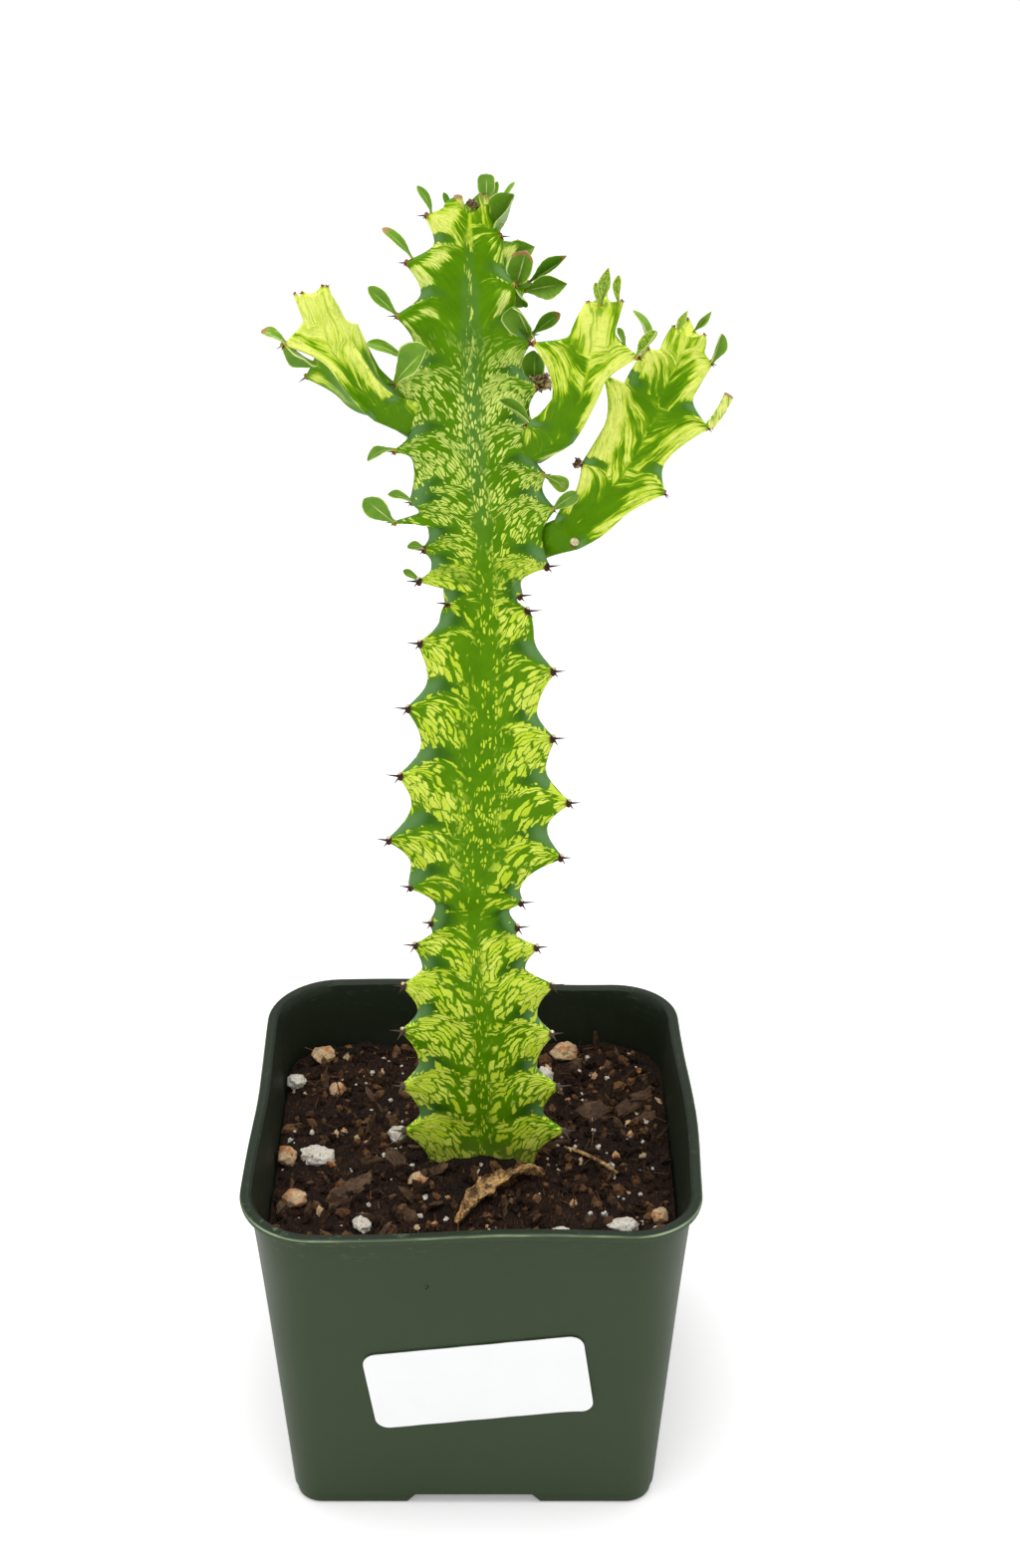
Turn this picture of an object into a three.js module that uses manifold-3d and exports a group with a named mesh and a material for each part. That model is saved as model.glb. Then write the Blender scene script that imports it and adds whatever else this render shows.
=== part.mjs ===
/*
 * A potted three-ribbed succulent: a variegated stem with three side branches, spines and small
 * leaves, standing in peat in a square plastic nursery pot with a blank label.
 * Millimetres, +Z up. The origin is on the surface that the pot stands on, under the pot's middle,
 * and -Y is the front.
 */
import * as THREE from 'three';
import { mergeVertices } from 'three/addons/utils/BufferGeometryUtils.js';
import Module from 'manifold-3d';

const wasm = await Module();
wasm.setup();

// Driving dimensions of the pot
const POT = {
  height: 110, rimHalf: 65, rimCorner: 21, bowFrom: 60,
  bodyTopHalf: 62.6, lipHeight: 3.2, lipRound: 0.8, lipTuck: 0.4, wall: 1.3,
  baseHalf: 54, baseCorner: 12, floor: 5.4, skin: 1.4,
  footHeight: 4, footInset: 0.8, footStep: 0.5,
  channelHalf: 17, channelSlope: 3.5, padPocketHalf: 14, padCentre: 33.5,
  drainRadius: 4, drainOffset: 27, drainSides: 10,
};
const CORNER_STEPS = 5;
const SIDE_POINTS = 3;
const WALL_LEVELS = [0.36, 0.7].map((share) => share * POT.height);

// How far the thin wall bows out at the rim, as [bearing, bow], and how far the rim's top waves.
// Both fade out down the wall.
const RIM_BOW = [
  [-90, -0.7], [-48, 0.2], [-12, 1.6], [38, -1.3], [90, 0.2], [140, 0.9], [180, -0.2], [216, 0.8],
  [270, -0.7],
];
const RIM_WAVE = { depth: 0.9, waves: 4, from: 92 };

// Driving dimensions of the soil and what lies on it
const GAP = 0.3;
const SOIL = { clear: 0.45, edgeTop: 88.5, level: 89.6, coarse: 0.8, fine: 0.65 };
const SOIL_RINGS = [0.93, 0.84, 0.73, 0.61, 0.49, 0.37, 0.25, 0.12];
const LABEL = { width: 64, height: 30, corner: 4, thick: 0.5, tilt: 7.4, x: 1.8, z: 52, cornerSteps: 4 };

// Driving dimensions of the growing stems
const SPINE = {
  length: 3.6, spread: 38, radius: 0.5, rootHalf: 0.85, sunk: 1, crotch: 0.4, drop: 0.1, dip: 0.3,
};
const LEAF_THICK = 0.8;
const LEAF_SUNK = 1;
const MAIN = { core: 6.5, edge: 0.95, sag: 3.2, foot: 64, neck: 91 };
const SIDE = { sag: 1.4 };
const SAG_ROWS = 3;

// Rings between a notch and a tooth, and how sharply a tooth rises and falls
const RISE_STEPS = [0, 0.62];
const FALL_STEPS = [0, 0.36];
const RISE_POWER = 1.7;
const FALL_POWER = 2.3;
const FINGER_POWER = 4.5;

// The valley between two ribs: its points, its depth between core and chord, and its least depth
const VALLEY_POINTS = 4;
const VALLEY_MIX = 0.5;
const VALLEY_LEAST = 0.6;
const NEARLY_OPPOSITE = 0.05;

const COLOURS = {
  pot: [0x2f4a30, 0.5], soil: [0x2b1a12, 1], label: [0xf4f4f2, 0.7], stem: [0x9fc63a, 0.45],
  leaf: [0x5f9a2c, 0.5], dried: [0xb98a4a, 0.8], perlite: [0xe9e4d8, 0.9], pumice: [0xc99a62, 0.9],
  bark: [0x3d2a20, 0.95],
};

const part = new THREE.Group();
const vec = (x, y, z) => new THREE.Vector3(x, y, z);
const radians = THREE.MathUtils.degToRad;
const mix = THREE.MathUtils.lerp;

function addPart(name, geometry, colour) {
  const [hex, roughness] = COLOURS[colour];
  const material = new THREE.MeshStandardMaterial({ color: hex, roughness, metalness: 0 });
  const mesh = new THREE.Mesh(geometry, material);
  mesh.name = name;
  part.add(mesh);
}

// Closed surface through a row of rings with the same number of points, anticlockwise from above
function loft(rings, startCentre, endCentre) {
  const count = rings[0].length;
  const points = [...rings.flat(), startCentre, endCentre];
  const start = points.length - 2;
  const end = points.length - 1;
  const last = (rings.length - 1) * count;
  const faces = [];
  for (let i = 0; i < count; i += 1) {
    const j = (i + 1) % count;
    faces.push(start, j, i, end, last + i, last + j);
    for (let row = 0; row < rings.length - 1; row += 1) {
      const low = row * count;
      const high = low + count;
      faces.push(low + i, low + j, high + j, low + i, high + j, high + i);
    }
  }
  return meshOf(points, faces);
}

function meshOf(points, faces) {
  const geometry = new THREE.BufferGeometry();
  const coordinates = points.flatMap((p) => p.toArray());
  geometry.setAttribute('position', new THREE.Float32BufferAttribute(coordinates, 3));
  geometry.setIndex(faces);
  return geometry;
}

function toSolid(geometry) {
  const bare = geometry.clone();
  bare.deleteAttribute('normal');
  bare.deleteAttribute('uv');
  const merged = mergeVertices(bare, 1e-4);
  return new wasm.Manifold(new wasm.Mesh({
    numProp: 3,
    vertProperties: new Float32Array(merged.attributes.position.array),
    triVerts: new Uint32Array(merged.index.array),
  }));
}

// The largest body of a solid, as a geometry
function toGeometry(solid) {
  const bodies = solid.decompose();
  const body = bodies.reduce((best, next) => (next.volume() > best.volume() ? next : best));
  const mesh = body.getMesh();
  const geometry = new THREE.BufferGeometry();
  geometry.setAttribute('position', new THREE.BufferAttribute(new Float32Array(mesh.vertProperties), 3));
  geometry.setIndex(new THREE.BufferAttribute(new Uint32Array(mesh.triVerts), 1));
  return geometry;
}

// The value of a table of [place, value] at a place, straight between its rows or eased
function tableAt(table, place, ease = (share) => share) {
  const next = Math.max(table.findIndex(([level]) => level >= place), 1);
  const [from, low] = table[next - 1];
  const [to, high] = table[next];
  return mix(low, high, ease((place - from) / (to - from)));
}

const smoothTable = (table, place) => tableAt(table, place, (share) => share * share * (3 - 2 * share));

const uniteAll = (solids) => solids.reduce((sum, next) => sum.add(next));

// Pot

// The thin wall bows a little out of true towards the rim
function bend(point) {
  const share = Math.max((point.z - POT.bowFrom) / (POT.height - POT.bowFrom), 0) ** 2;
  const angle = Math.atan2(point.y, point.x);
  const bearing = THREE.MathUtils.radToDeg(angle);
  const bow = share * smoothTable(RIM_BOW, bearing < -90 ? bearing + 360 : bearing);
  const wave = share * RIM_WAVE.depth * Math.sin(RIM_WAVE.waves * (angle + radians(RIM_WAVE.from)));
  return vec(point.x + bow * Math.cos(angle), point.y + bow * Math.sin(angle), point.z + wave);
}

function squareRing(half, corner, z) {
  const ring = [];
  for (let side = 0; side < 4; side += 1) {
    const turn = side * Math.PI / 2;
    const local = [];
    for (let i = 0; i <= CORNER_STEPS; i += 1) {
      const angle = (i / CORNER_STEPS) * Math.PI / 2;
      local.push([half - corner + corner * Math.cos(angle), half - corner + corner * Math.sin(angle)]);
    }
    for (let i = 1; i <= SIDE_POINTS; i += 1) {
      local.push([mix(half - corner, corner - half, i / (SIDE_POINTS + 1)), half]);
    }
    for (const [x, y] of local) {
      const point = vec(x, y, z).applyAxisAngle(vec(0, 0, 1), turn);
      ring.push(bend(point));
    }
  }
  return ring;
}

const wallHalf = (z) => mix(POT.baseHalf, POT.bodyTopHalf, z / (POT.height - POT.lipHeight));
const wallCorner = (z) => mix(POT.baseCorner, POT.rimCorner, z / POT.height);
const outerRing = (z, out = 0) => squareRing(wallHalf(z) + out, wallCorner(z), z);
const innerRing = (z, clear = 0) => squareRing(wallHalf(z) - POT.wall - clear, wallCorner(z) - POT.wall, z);

function channelCutter() {
  const low = POT.channelHalf + POT.channelSlope;
  const shape = new THREE.Shape();
  shape.moveTo(-low, -1);
  shape.lineTo(low, -1);
  shape.lineTo(low, 0);
  shape.lineTo(POT.channelHalf, POT.footHeight);
  shape.lineTo(-POT.channelHalf, POT.footHeight);
  shape.lineTo(-low, 0);
  const reach = POT.rimHalf;
  const bar = new THREE.ExtrudeGeometry(shape, { depth: 2 * reach, bevelEnabled: false, steps: 1 });
  bar.rotateX(Math.PI / 2);
  bar.translate(0, reach, 0);
  return bar;
}

function buildPot() {
  const lipBase = POT.height - POT.lipHeight;
  const lipOut = POT.rimHalf - POT.bodyTopHalf;
  const footTop = POT.footHeight - POT.footStep;
  const rings = [
    outerRing(0, -POT.footInset - POT.lipRound),
    outerRing(POT.lipRound, -POT.footInset),
    outerRing(footTop, -POT.footInset),
    outerRing(POT.footHeight, 0),
    ...WALL_LEVELS.map((z) => outerRing(z)),
    outerRing(lipBase),
    squareRing(POT.rimHalf - POT.lipTuck, POT.rimCorner, lipBase + POT.lipRound),
    squareRing(POT.rimHalf, POT.rimCorner, POT.height - POT.lipRound),
    squareRing(POT.rimHalf - POT.lipRound, POT.rimCorner - POT.lipRound, POT.height),
    squareRing(POT.rimHalf - lipOut, POT.rimCorner - lipOut, POT.height),
    innerRing(lipBase),
    ...WALL_LEVELS.map((z) => innerRing(z)).reverse(),
    innerRing(POT.floor),
  ];
  let solid = toSolid(loft(rings, vec(0, 0, 0), vec(0, 0, POT.floor)));
  const channel = channelCutter();
  solid = solid.subtract(toSolid(channel)).subtract(toSolid(channel.clone().rotateZ(Math.PI / 2)));
  const deep = POT.floor - POT.skin + 1;
  for (const [sx, sy] of [[1, 1], [-1, 1], [-1, -1], [1, -1]]) {
    const pocket = new THREE.BoxGeometry(2 * POT.padPocketHalf, 2 * POT.padPocketHalf, deep);
    pocket.translate(sx * POT.padCentre, sy * POT.padCentre, POT.skin + deep / 2);
    solid = solid.subtract(toSolid(pocket));
  }
  for (const [dx, dy] of [[0, 0], [1, 0], [-1, 0], [0, 1], [0, -1]]) {
    const drain = new THREE.CylinderGeometry(
      POT.drainRadius, POT.drainRadius, 4 * POT.floor, POT.drainSides,
    );
    drain.rotateX(Math.PI / 2);
    drain.translate(dx * POT.drainOffset, dy * POT.drainOffset, 0);
    solid = solid.subtract(toSolid(drain));
  }
  addPart('pot', toGeometry(solid), 'pot');
}

// Label, on the leaning front wall, turned a little anticlockwise

function buildLabel() {
  const { width, height, corner, cornerSteps, thick } = LABEL;
  const shape = new THREE.Shape();
  const x = width / 2 - corner;
  const y = height / 2 - corner;
  shape.absarc(x, y, corner, 0, Math.PI / 2);
  shape.absarc(-x, y, corner, Math.PI / 2, Math.PI);
  shape.absarc(-x, -y, corner, Math.PI, Math.PI * 1.5);
  shape.absarc(x, -y, corner, Math.PI * 1.5, Math.PI * 2);
  const settings = { depth: thick, bevelEnabled: false, curveSegments: cornerSteps };
  const geometry = new THREE.ExtrudeGeometry(shape, settings);
  const lean = Math.atan2(POT.bodyTopHalf - POT.baseHalf, POT.height - POT.lipHeight);
  geometry.rotateZ(radians(LABEL.tilt));
  geometry.rotateX(Math.PI / 2 + lean);
  geometry.translate(LABEL.x, -wallHalf(LABEL.z) - GAP, LABEL.z);
  addPart('label', geometry, 'label');
}

// Growing stems. A stem has an axis and ribs with the same rows: even rows are notches and odd
// rows are teeth, and the rows of one rib may stand higher than those of another.

function ringAt(stem, row, share, grow) {
  const low = stem.axis[row];
  const high = stem.axis[row + 1];
  const along = high.clone().sub(low).normalize();
  const centre = low.clone().lerp(high, share);
  const rising = row % 2 === 0;
  const tooth = (row + (rising ? 1 : 0) - 1) / 2;
  const offsets = stem.ribs.map((rib) => {
    const plain = rising ? RISE_POWER : FALL_POWER;
    const power = rib.fingers?.includes(tooth) ? FINGER_POWER : plain;
    const weight = rising ? share ** power : 1 - (1 - share) ** power;
    const a = rib.points[row].clone().sub(low);
    const b = rib.points[row + 1].clone().sub(high);
    const aAlong = a.dot(along);
    const bAlong = b.dot(along);
    a.addScaledVector(along, -aAlong);
    b.addScaledVector(along, -bAlong);
    const across = a.lerp(b, weight);
    const notch = notchOffset(stem, rib, row, share);
    return { across: across.setLength(across.length() + grow), rise: mix(aAlong, bAlong, share), notch };
  });
  const points = [];
  offsets.forEach((from, i) => {
    const to = offsets[(i + 1) % offsets.length];
    const edge = stem.edge + grow;
    const start = ribEdge(centre, along, from, edge);
    const end = ribEdge(centre, along, to, -edge);
    const valley = valleyPoint(stem, centre, along, from, to, { grow, height: row + share });
    const control = valley.multiplyScalar(2).addScaledVector(start, -0.5).addScaledVector(end, -0.5);
    const curve = new THREE.QuadraticBezierCurve3(start, control, end);
    points.push(...curve.getPoints(VALLEY_POINTS));
  });
  return points;
}

function ribEdge(centre, along, offset, side) {
  const sideways = along.clone().cross(offset.across).normalize();
  const tip = centre.clone().add(offset.across).addScaledVector(along, offset.rise);
  return tip.addScaledVector(sideways, side);
}

// The valley between two ribs follows their notches, so that the teeth stand out of even faces,
// and it hangs lower than the rib edges on both sides of it
function valleyPoint(stem, centre, along, from, to, place) {
  const a = from.across.clone().normalize();
  const b = to.across.clone().normalize();
  const bisector = a.clone().add(b);
  const quarter = along.clone().cross(a);
  if (bisector.length() < NEARLY_OPPOSITE || quarter.dot(b) < 0) bisector.copy(quarter);
  bisector.normalize();
  const chord = Math.max(from.notch.clone().add(to.notch).multiplyScalar(0.5).dot(bisector), 0);
  const deepest = Math.max(chord, stem.core * VALLEY_LEAST);
  const radius = Math.min(mix(stem.core, chord, VALLEY_MIX), deepest) + place.grow;
  const sag = stem.sag * Math.min(1, place.height / SAG_ROWS);
  const rise = (from.rise + to.rise) / 2 - sag;
  return centre.clone().addScaledVector(bisector, radius).addScaledVector(along, rise);
}

// How far a rib's notches lie from the axis at a height, without its teeth
function notchOffset(stem, rib, row, share) {
  const low = row - (row % 2);
  const high = Math.min(low + 2, stem.axis.length - 2);
  const from = rib.points[low].clone().sub(stem.axis[low]);
  const to = rib.points[high].clone().sub(stem.axis[high]);
  return from.lerp(to, ((row % 2) + share) / 2);
}

function stemRings(stem, grow) {
  const rings = [];
  const lastRow = stem.axis.length - 2;
  for (let row = 0; row <= lastRow; row += 1) {
    const steps = row % 2 === 0 ? RISE_STEPS : FALL_STEPS;
    steps.forEach((share) => rings.push(ringAt(stem, row, share, grow)));
  }
  rings.push(ringAt(stem, lastRow, 1, grow));
  return rings;
}

// Each tooth carries a pair of short spines that spread to the two sides from one root and dip
function spinePair(stem, rib, row, grow) {
  const tip = rib.points[row];
  const below = stem.axis[row - 1];
  const above = stem.axis[Math.min(row + 1, stem.axis.length - 1)];
  const along = above.clone().sub(below).normalize();
  const out = tip.clone().sub(stem.axis[row]);
  out.addScaledVector(along, -out.dot(along)).normalize();
  const sideways = along.clone().cross(out);
  const place = (far, side, up) => tip.clone().addScaledVector(out, far).addScaledVector(sideways, side)
    .addScaledVector(along, up - SPINE.drop);
  const thick = SPINE.radius + grow;
  const wide = SPINE.rootHalf + grow;
  const far = SPINE.length * Math.cos(radians(SPINE.spread)) + grow;
  const aside = SPINE.length * Math.sin(radians(SPINE.spread)) + grow;
  const points = [
    place(-SPINE.sunk, wide, 0), place(-SPINE.sunk, -wide, 0), place(-SPINE.sunk, 0, thick),
    place(-SPINE.sunk, 0, -thick), place(SPINE.crotch + grow, 0, 0),
    place(far, aside, -SPINE.dip), place(far, -aside, -SPINE.dip),
  ];
  const [side, other, top, low, crotch, tipA, tipB] = points.keys();
  const faces = [
    side, top, tipA, top, crotch, tipA, crotch, low, tipA, low, side, tipA,
    top, other, tipB, crotch, top, tipB, low, crotch, tipB, other, low, tipB,
    top, side, low, top, low, other,
  ];
  return toSolid(meshOf(points, faces));
}

function spinePairs(stem, grow) {
  const teeth = stem.axis.map((_, row) => row).filter((row) => row % 2 === 1);
  return stem.ribs.flatMap((rib) => teeth.filter((row) => !rib.bare?.includes((row - 1) / 2))
    .map((row) => spinePair(stem, rib, row, grow)));
}

function stemSolid(stem, grow = 0) {
  const rings = stemRings(stem, grow);
  if (stem.foot !== undefined) {
    for (const z of [stem.neck, stem.foot]) rings.unshift(rings[0].map((p) => vec(p.x, p.y, z)));
  }
  const bottom = middleOf(rings[0]);
  const body = toSolid(loft(rings, bottom, stem.apex));
  return uniteAll([body, ...spinePairs(stem, grow)]);
}

function middleOf(ring) {
  return ring.reduce((sum, p) => sum.add(p), vec(0, 0, 0)).divideScalar(ring.length);
}

// Main stem, three growths one above the other with a waist between them

const AXIS_X = [
  [60, 3.2], [105, 3.2], [140, 2.2], [167, 0.9], [182, 0.6], [197, 1.4], [216, 3.2], [250, 4.2],
  [275, 4.6], [299, 3.4], [320, 2], [344, 1.2], [367, 0.8], [390, 1.4],
];

// The two front ribs lean forward by this turn. The back rib turns to the right higher up, stands
// a little higher than the front ones and has longer teeth between two of its rows.
const FRONT_TURN = radians(27);
const BACK_TURN = [[60, 90], [180, 88], [275, 70], [325, 52], [390, 48]];
const BACK_STAGGER = 4.5;
const BACK_FINGERS = { from: 31, to: 39, longer: 1.25 };
const BACK_TAPER = 30;
const TIP_Z = 380.5;
const APEX = [1.6, 0, 377];

// Notch, tooth, notch, tooth and so on up each front rib, as [x, z]
const LEFT_RIB = [
  [-14.4, 93], [-20.5, 107], [-15, 111.5], [-20.5, 123], [-15, 130], [-20, 142], [-15, 147.5],
  [-19.5, 157], [-13.5, 161.5], [-16, 169.5], [-10.5, 172], [-11.5, 175.5], [-9.5, 180.5],
  [-17, 189], [-16, 196], [-22.5, 206], [-15.5, 215.5], [-19, 225.5], [-12.5, 234],
  [-16.5, 245.5], [-10.5, 253], [-13, 264], [-7, 270], [-5.5, 274], [-6, 278], [-13, 282],
  [-9, 286.5], [-11.5, 290.5], [-9.5, 294], [-19, 299.5], [-12, 301], [-14.5, 304],
  [-13, 312.5], [-18.5, 318.5], [-13.5, 327.5], [-17.5, 336], [-12.5, 345.5], [-17, 353.5],
  [-10.5, 358.5], [-14.5, 366.5], [-7, 370.5], [-9.5, 377.5], [-4.5, 379.2], [-2.5, 381],
];
const RIGHT_RIB = [
  [20.4, 93], [27, 107], [20, 111.5], [25, 122.5], [18, 127.5], [23, 140.5], [18, 146],
  [23, 157.5], [14.5, 160.5], [18.5, 169], [12, 171], [13, 174], [10, 178.5], [14, 182.5],
  [13, 186.5], [25, 200], [20.5, 208], [27, 217.5], [20, 226.5], [22.5, 236], [17.5, 243],
  [22.5, 256], [16.5, 265], [15.5, 272], [12, 274.5], [13.5, 276], [13, 279.5], [20.5, 286],
  [18.5, 294], [22, 302.5], [18.5, 307.5], [19.5, 311.5], [16, 317], [18, 322], [15, 328.5],
  [17.5, 334.5], [13, 339.5], [15.5, 346], [11.5, 354], [12, 360], [8.5, 366], [8.5, 372],
  [5, 378.4], [5, 381],
];

function mainStem() {
  const axis = [];
  const left = [];
  const right = [];
  const back = [];
  LEFT_RIB.forEach(([leftX, leftZ], row) => {
    const [rightX, rightZ] = RIGHT_RIB[row];
    const isLong = row % 2 === 1 && row >= BACK_FINGERS.from && row <= BACK_FINGERS.to;
    const taper = Math.min(1, (TIP_Z - leftZ) / BACK_TAPER);
    const backZ = (leftZ + rightZ) / 2 + (row === 0 ? 0 : BACK_STAGGER * taper);
    const z = (leftZ + rightZ + backZ) / 3;
    const x = tableAt(AXIS_X, z);
    const reach = (rightX - leftX) / 2 / Math.cos(FRONT_TURN);
    const turn = radians(tableAt(BACK_TURN, z));
    axis.push(vec(x, 0, z));
    left.push(vec(leftX, -(x - leftX) * Math.tan(FRONT_TURN), leftZ));
    right.push(vec(rightX, -(rightX - x) * Math.tan(FRONT_TURN), rightZ));
    const backReach = isLong ? reach * BACK_FINGERS.longer : reach;
    back.push(vec(x + backReach * Math.cos(turn), backReach * Math.sin(turn), backZ));
  });
  return {
    axis,
    ribs: [{ points: left, fingers: [12, 14, 16] }, { points: right }, { points: back }],
    ...MAIN,
    apex: vec(...APEX),
  };
}

// Side branches: the axis and each rib as [x, y, z], in the same rows of notches and teeth

function branchStem(spec) {
  const rows = (list) => list.map(([x, y, z]) => vec(x, y, z));
  return {
    axis: rows(spec.axis),
    ribs: spec.ribs.map((rib, i) => ({ points: rows(rib), bare: spec.bare[i] })),
    core: spec.core, edge: spec.edge, sag: SIDE.sag, apex: vec(...spec.apex),
  };
}

const LEFT_BRANCH = {
  bare: [[0], [0, 1], [0], [0]],
  core: 3.4, edge: 0.8, apex: [-37.2, -10.8, 358.6],
  axis: [[-15, -8, 320], [-21, -9, 326.5], [-25.5, -9.5, 333], [-32, -10.5, 344.5],
    [-35.5, -11, 351.5], [-38, -11.5, 359.3]],
  ribs: [
    [[-17, -13, 317.5], [-23.5, -13.5, 325], [-32.3, -15, 341], [-44.6, -16, 348.4],
      [-39.4, -14, 354.1], [-41.7, -13.5, 360.6]],
    [[-11, -13, 327], [-18.2, -14, 331.6], [-23, -14.5, 338.6], [-29, -14, 348.5],
      [-32.6, -13.5, 356.4], [-34, -12.5, 362]],
    [[-12, -4, 328], [-18.6, -4, 332.6], [-22.6, -4, 338], [-27.8, -3.5, 349.4], [-31, -6, 351.8],
      [-35.4, -8.5, 361]],
    [[-18.5, -4, 316.5], [-24.5, -4.5, 323.5], [-30.6, -4.5, 329.6], [-40.6, -3.5, 336],
      [-37.4, -6.5, 349], [-40.4, -9, 359.4]],
  ],
};

const INNER_BRANCH = {
  bare: [[], [0], [0]],
  core: 4, edge: 0.9, apex: [34, -14, 358.6],
  axis: [[14.5, -10, 312], [20.5, -12, 320], [26, -13.5, 329], [29.5, -14, 341], [32, -14, 350.5],
    [34.2, -14, 359.2]],
  ribs: [
    [[12, -12.5, 315.5], [14.8, -17, 326], [22, -17, 334.6], [16.7, -18.5, 349.5],
      [26.4, -16.5, 351], [30.1, -15.5, 359]],
    [[18, -13.5, 309.5], [27.4, -16, 322.5], [33, -16.5, 337], [42.3, -17, 345.6],
      [36.1, -15.5, 352], [38.2, -15, 359.2]],
    [[16.5, -5, 315], [21.5, -5.5, 325], [26, -7, 335], [30, -6, 345], [32, -9.5, 352.5],
      [34.2, -10.5, 359.6]],
  ],
};

const OUTER_BRANCH = {
  bare: [[0], [0], [0]],
  core: 4.2, edge: 0.9, apex: [55, -5, 346.4],
  axis: [[15.5, -7, 286.5], [24.5, -7, 294.5], [31, -6.5, 301], [37.5, -6, 308.5], [41.5, -5.5, 314.5],
    [46.5, -5, 324.5], [48.6, -5, 331], [52.2, -5, 339], [53.8, -5, 342.6], [55.4, -5, 347]],
  ribs: [
    [[14.5, -8.5, 290.5], [22.5, -10.5, 299], [27.4, -9, 305.4], [29.6, -9.5, 314.6], [35.4, -9, 324.5],
      [34.7, -9, 338], [40.2, -8, 335.4], [45.2, -8.5, 344.6], [49, -7.5, 344], [51.9, -7, 350.2]],
    [[17.5, -9.5, 282.5], [28, -12, 292.4], [38.5, -9.5, 299.6], [50.4, -9, 306.8], [49.8, -8, 314.4],
      [61, -8.5, 324.2], [56.6, -7.5, 332.2], [61.2, -7.5, 340.9], [59, -7, 344.4], [59.3, -7, 348.2]],
    [[17.5, -1, 288], [26, 0.5, 297], [32.5, 1, 304], [40, 4, 313], [43.5, 1.5, 319],
      [48, 4.5, 329], [49.5, 1, 334.5], [53, 3, 343], [54.4, 0, 344.8], [55.6, 0, 350]],
  ],
};

// Leaves. Each grows from a tooth and is given by the way to its tip, its width, the way its
// upper face looks, how far it folds and how far it arches.

const LEAF_STATIONS = [[0, 0.16], [0.24, 0.26], [0.52, 0.84], [0.8, 1], [1, 0.3]];

// One section of a folded blade: both edges rise above the middle line
function bladeRing(centre, sideways, up, { half, rise, low, thick }) {
  const place = (side, height) => centre.clone()
    .addScaledVector(sideways, side)
    .addScaledVector(up, height);
  const top = thick / 2;
  return [
    place(-half, rise + top), place(0, low + top), place(half, rise + top),
    place(half, rise - top), place(0, low - top), place(-half, rise - top),
  ];
}

function leafSolid(root, leaf) {
  const { to, width, face, shift = [0, 0, 0], fold = 0.25, arch = 0.08 } = leaf;
  const way = vec(...to);
  const length = way.length();
  way.normalize();
  const normal = vec(...face);
  normal.addScaledVector(way, -normal.dot(way)).normalize();
  const sideways = way.clone().cross(normal);
  const start = root.clone().add(vec(...shift)).addScaledVector(way, -LEAF_SUNK);
  const rings = LEAF_STATIONS.map(([share, fullness]) => {
    const half = (width / 2) * fullness;
    const lift = arch * length * 4 * share * (1 - share);
    const centre = start.clone().addScaledVector(way, share * (length + LEAF_SUNK));
    centre.addScaledVector(normal, lift);
    const rise = fold * half;
    return bladeRing(centre, sideways, normal, { half, rise, low: -rise, thick: LEAF_THICK });
  });
  return toSolid(loft(rings, middleOf(rings[0]), middleOf(rings.at(-1))));
}

const tooth = (stem, rib, index) => stem.ribs[rib].points[2 * index + 1];
const LEFT = 0;
const RIGHT = 1;
const BACK = 2;

const FRONTWARD = [0, -1, 0.3];
const UPWARD = [0, -0.6, 0.9];

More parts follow.
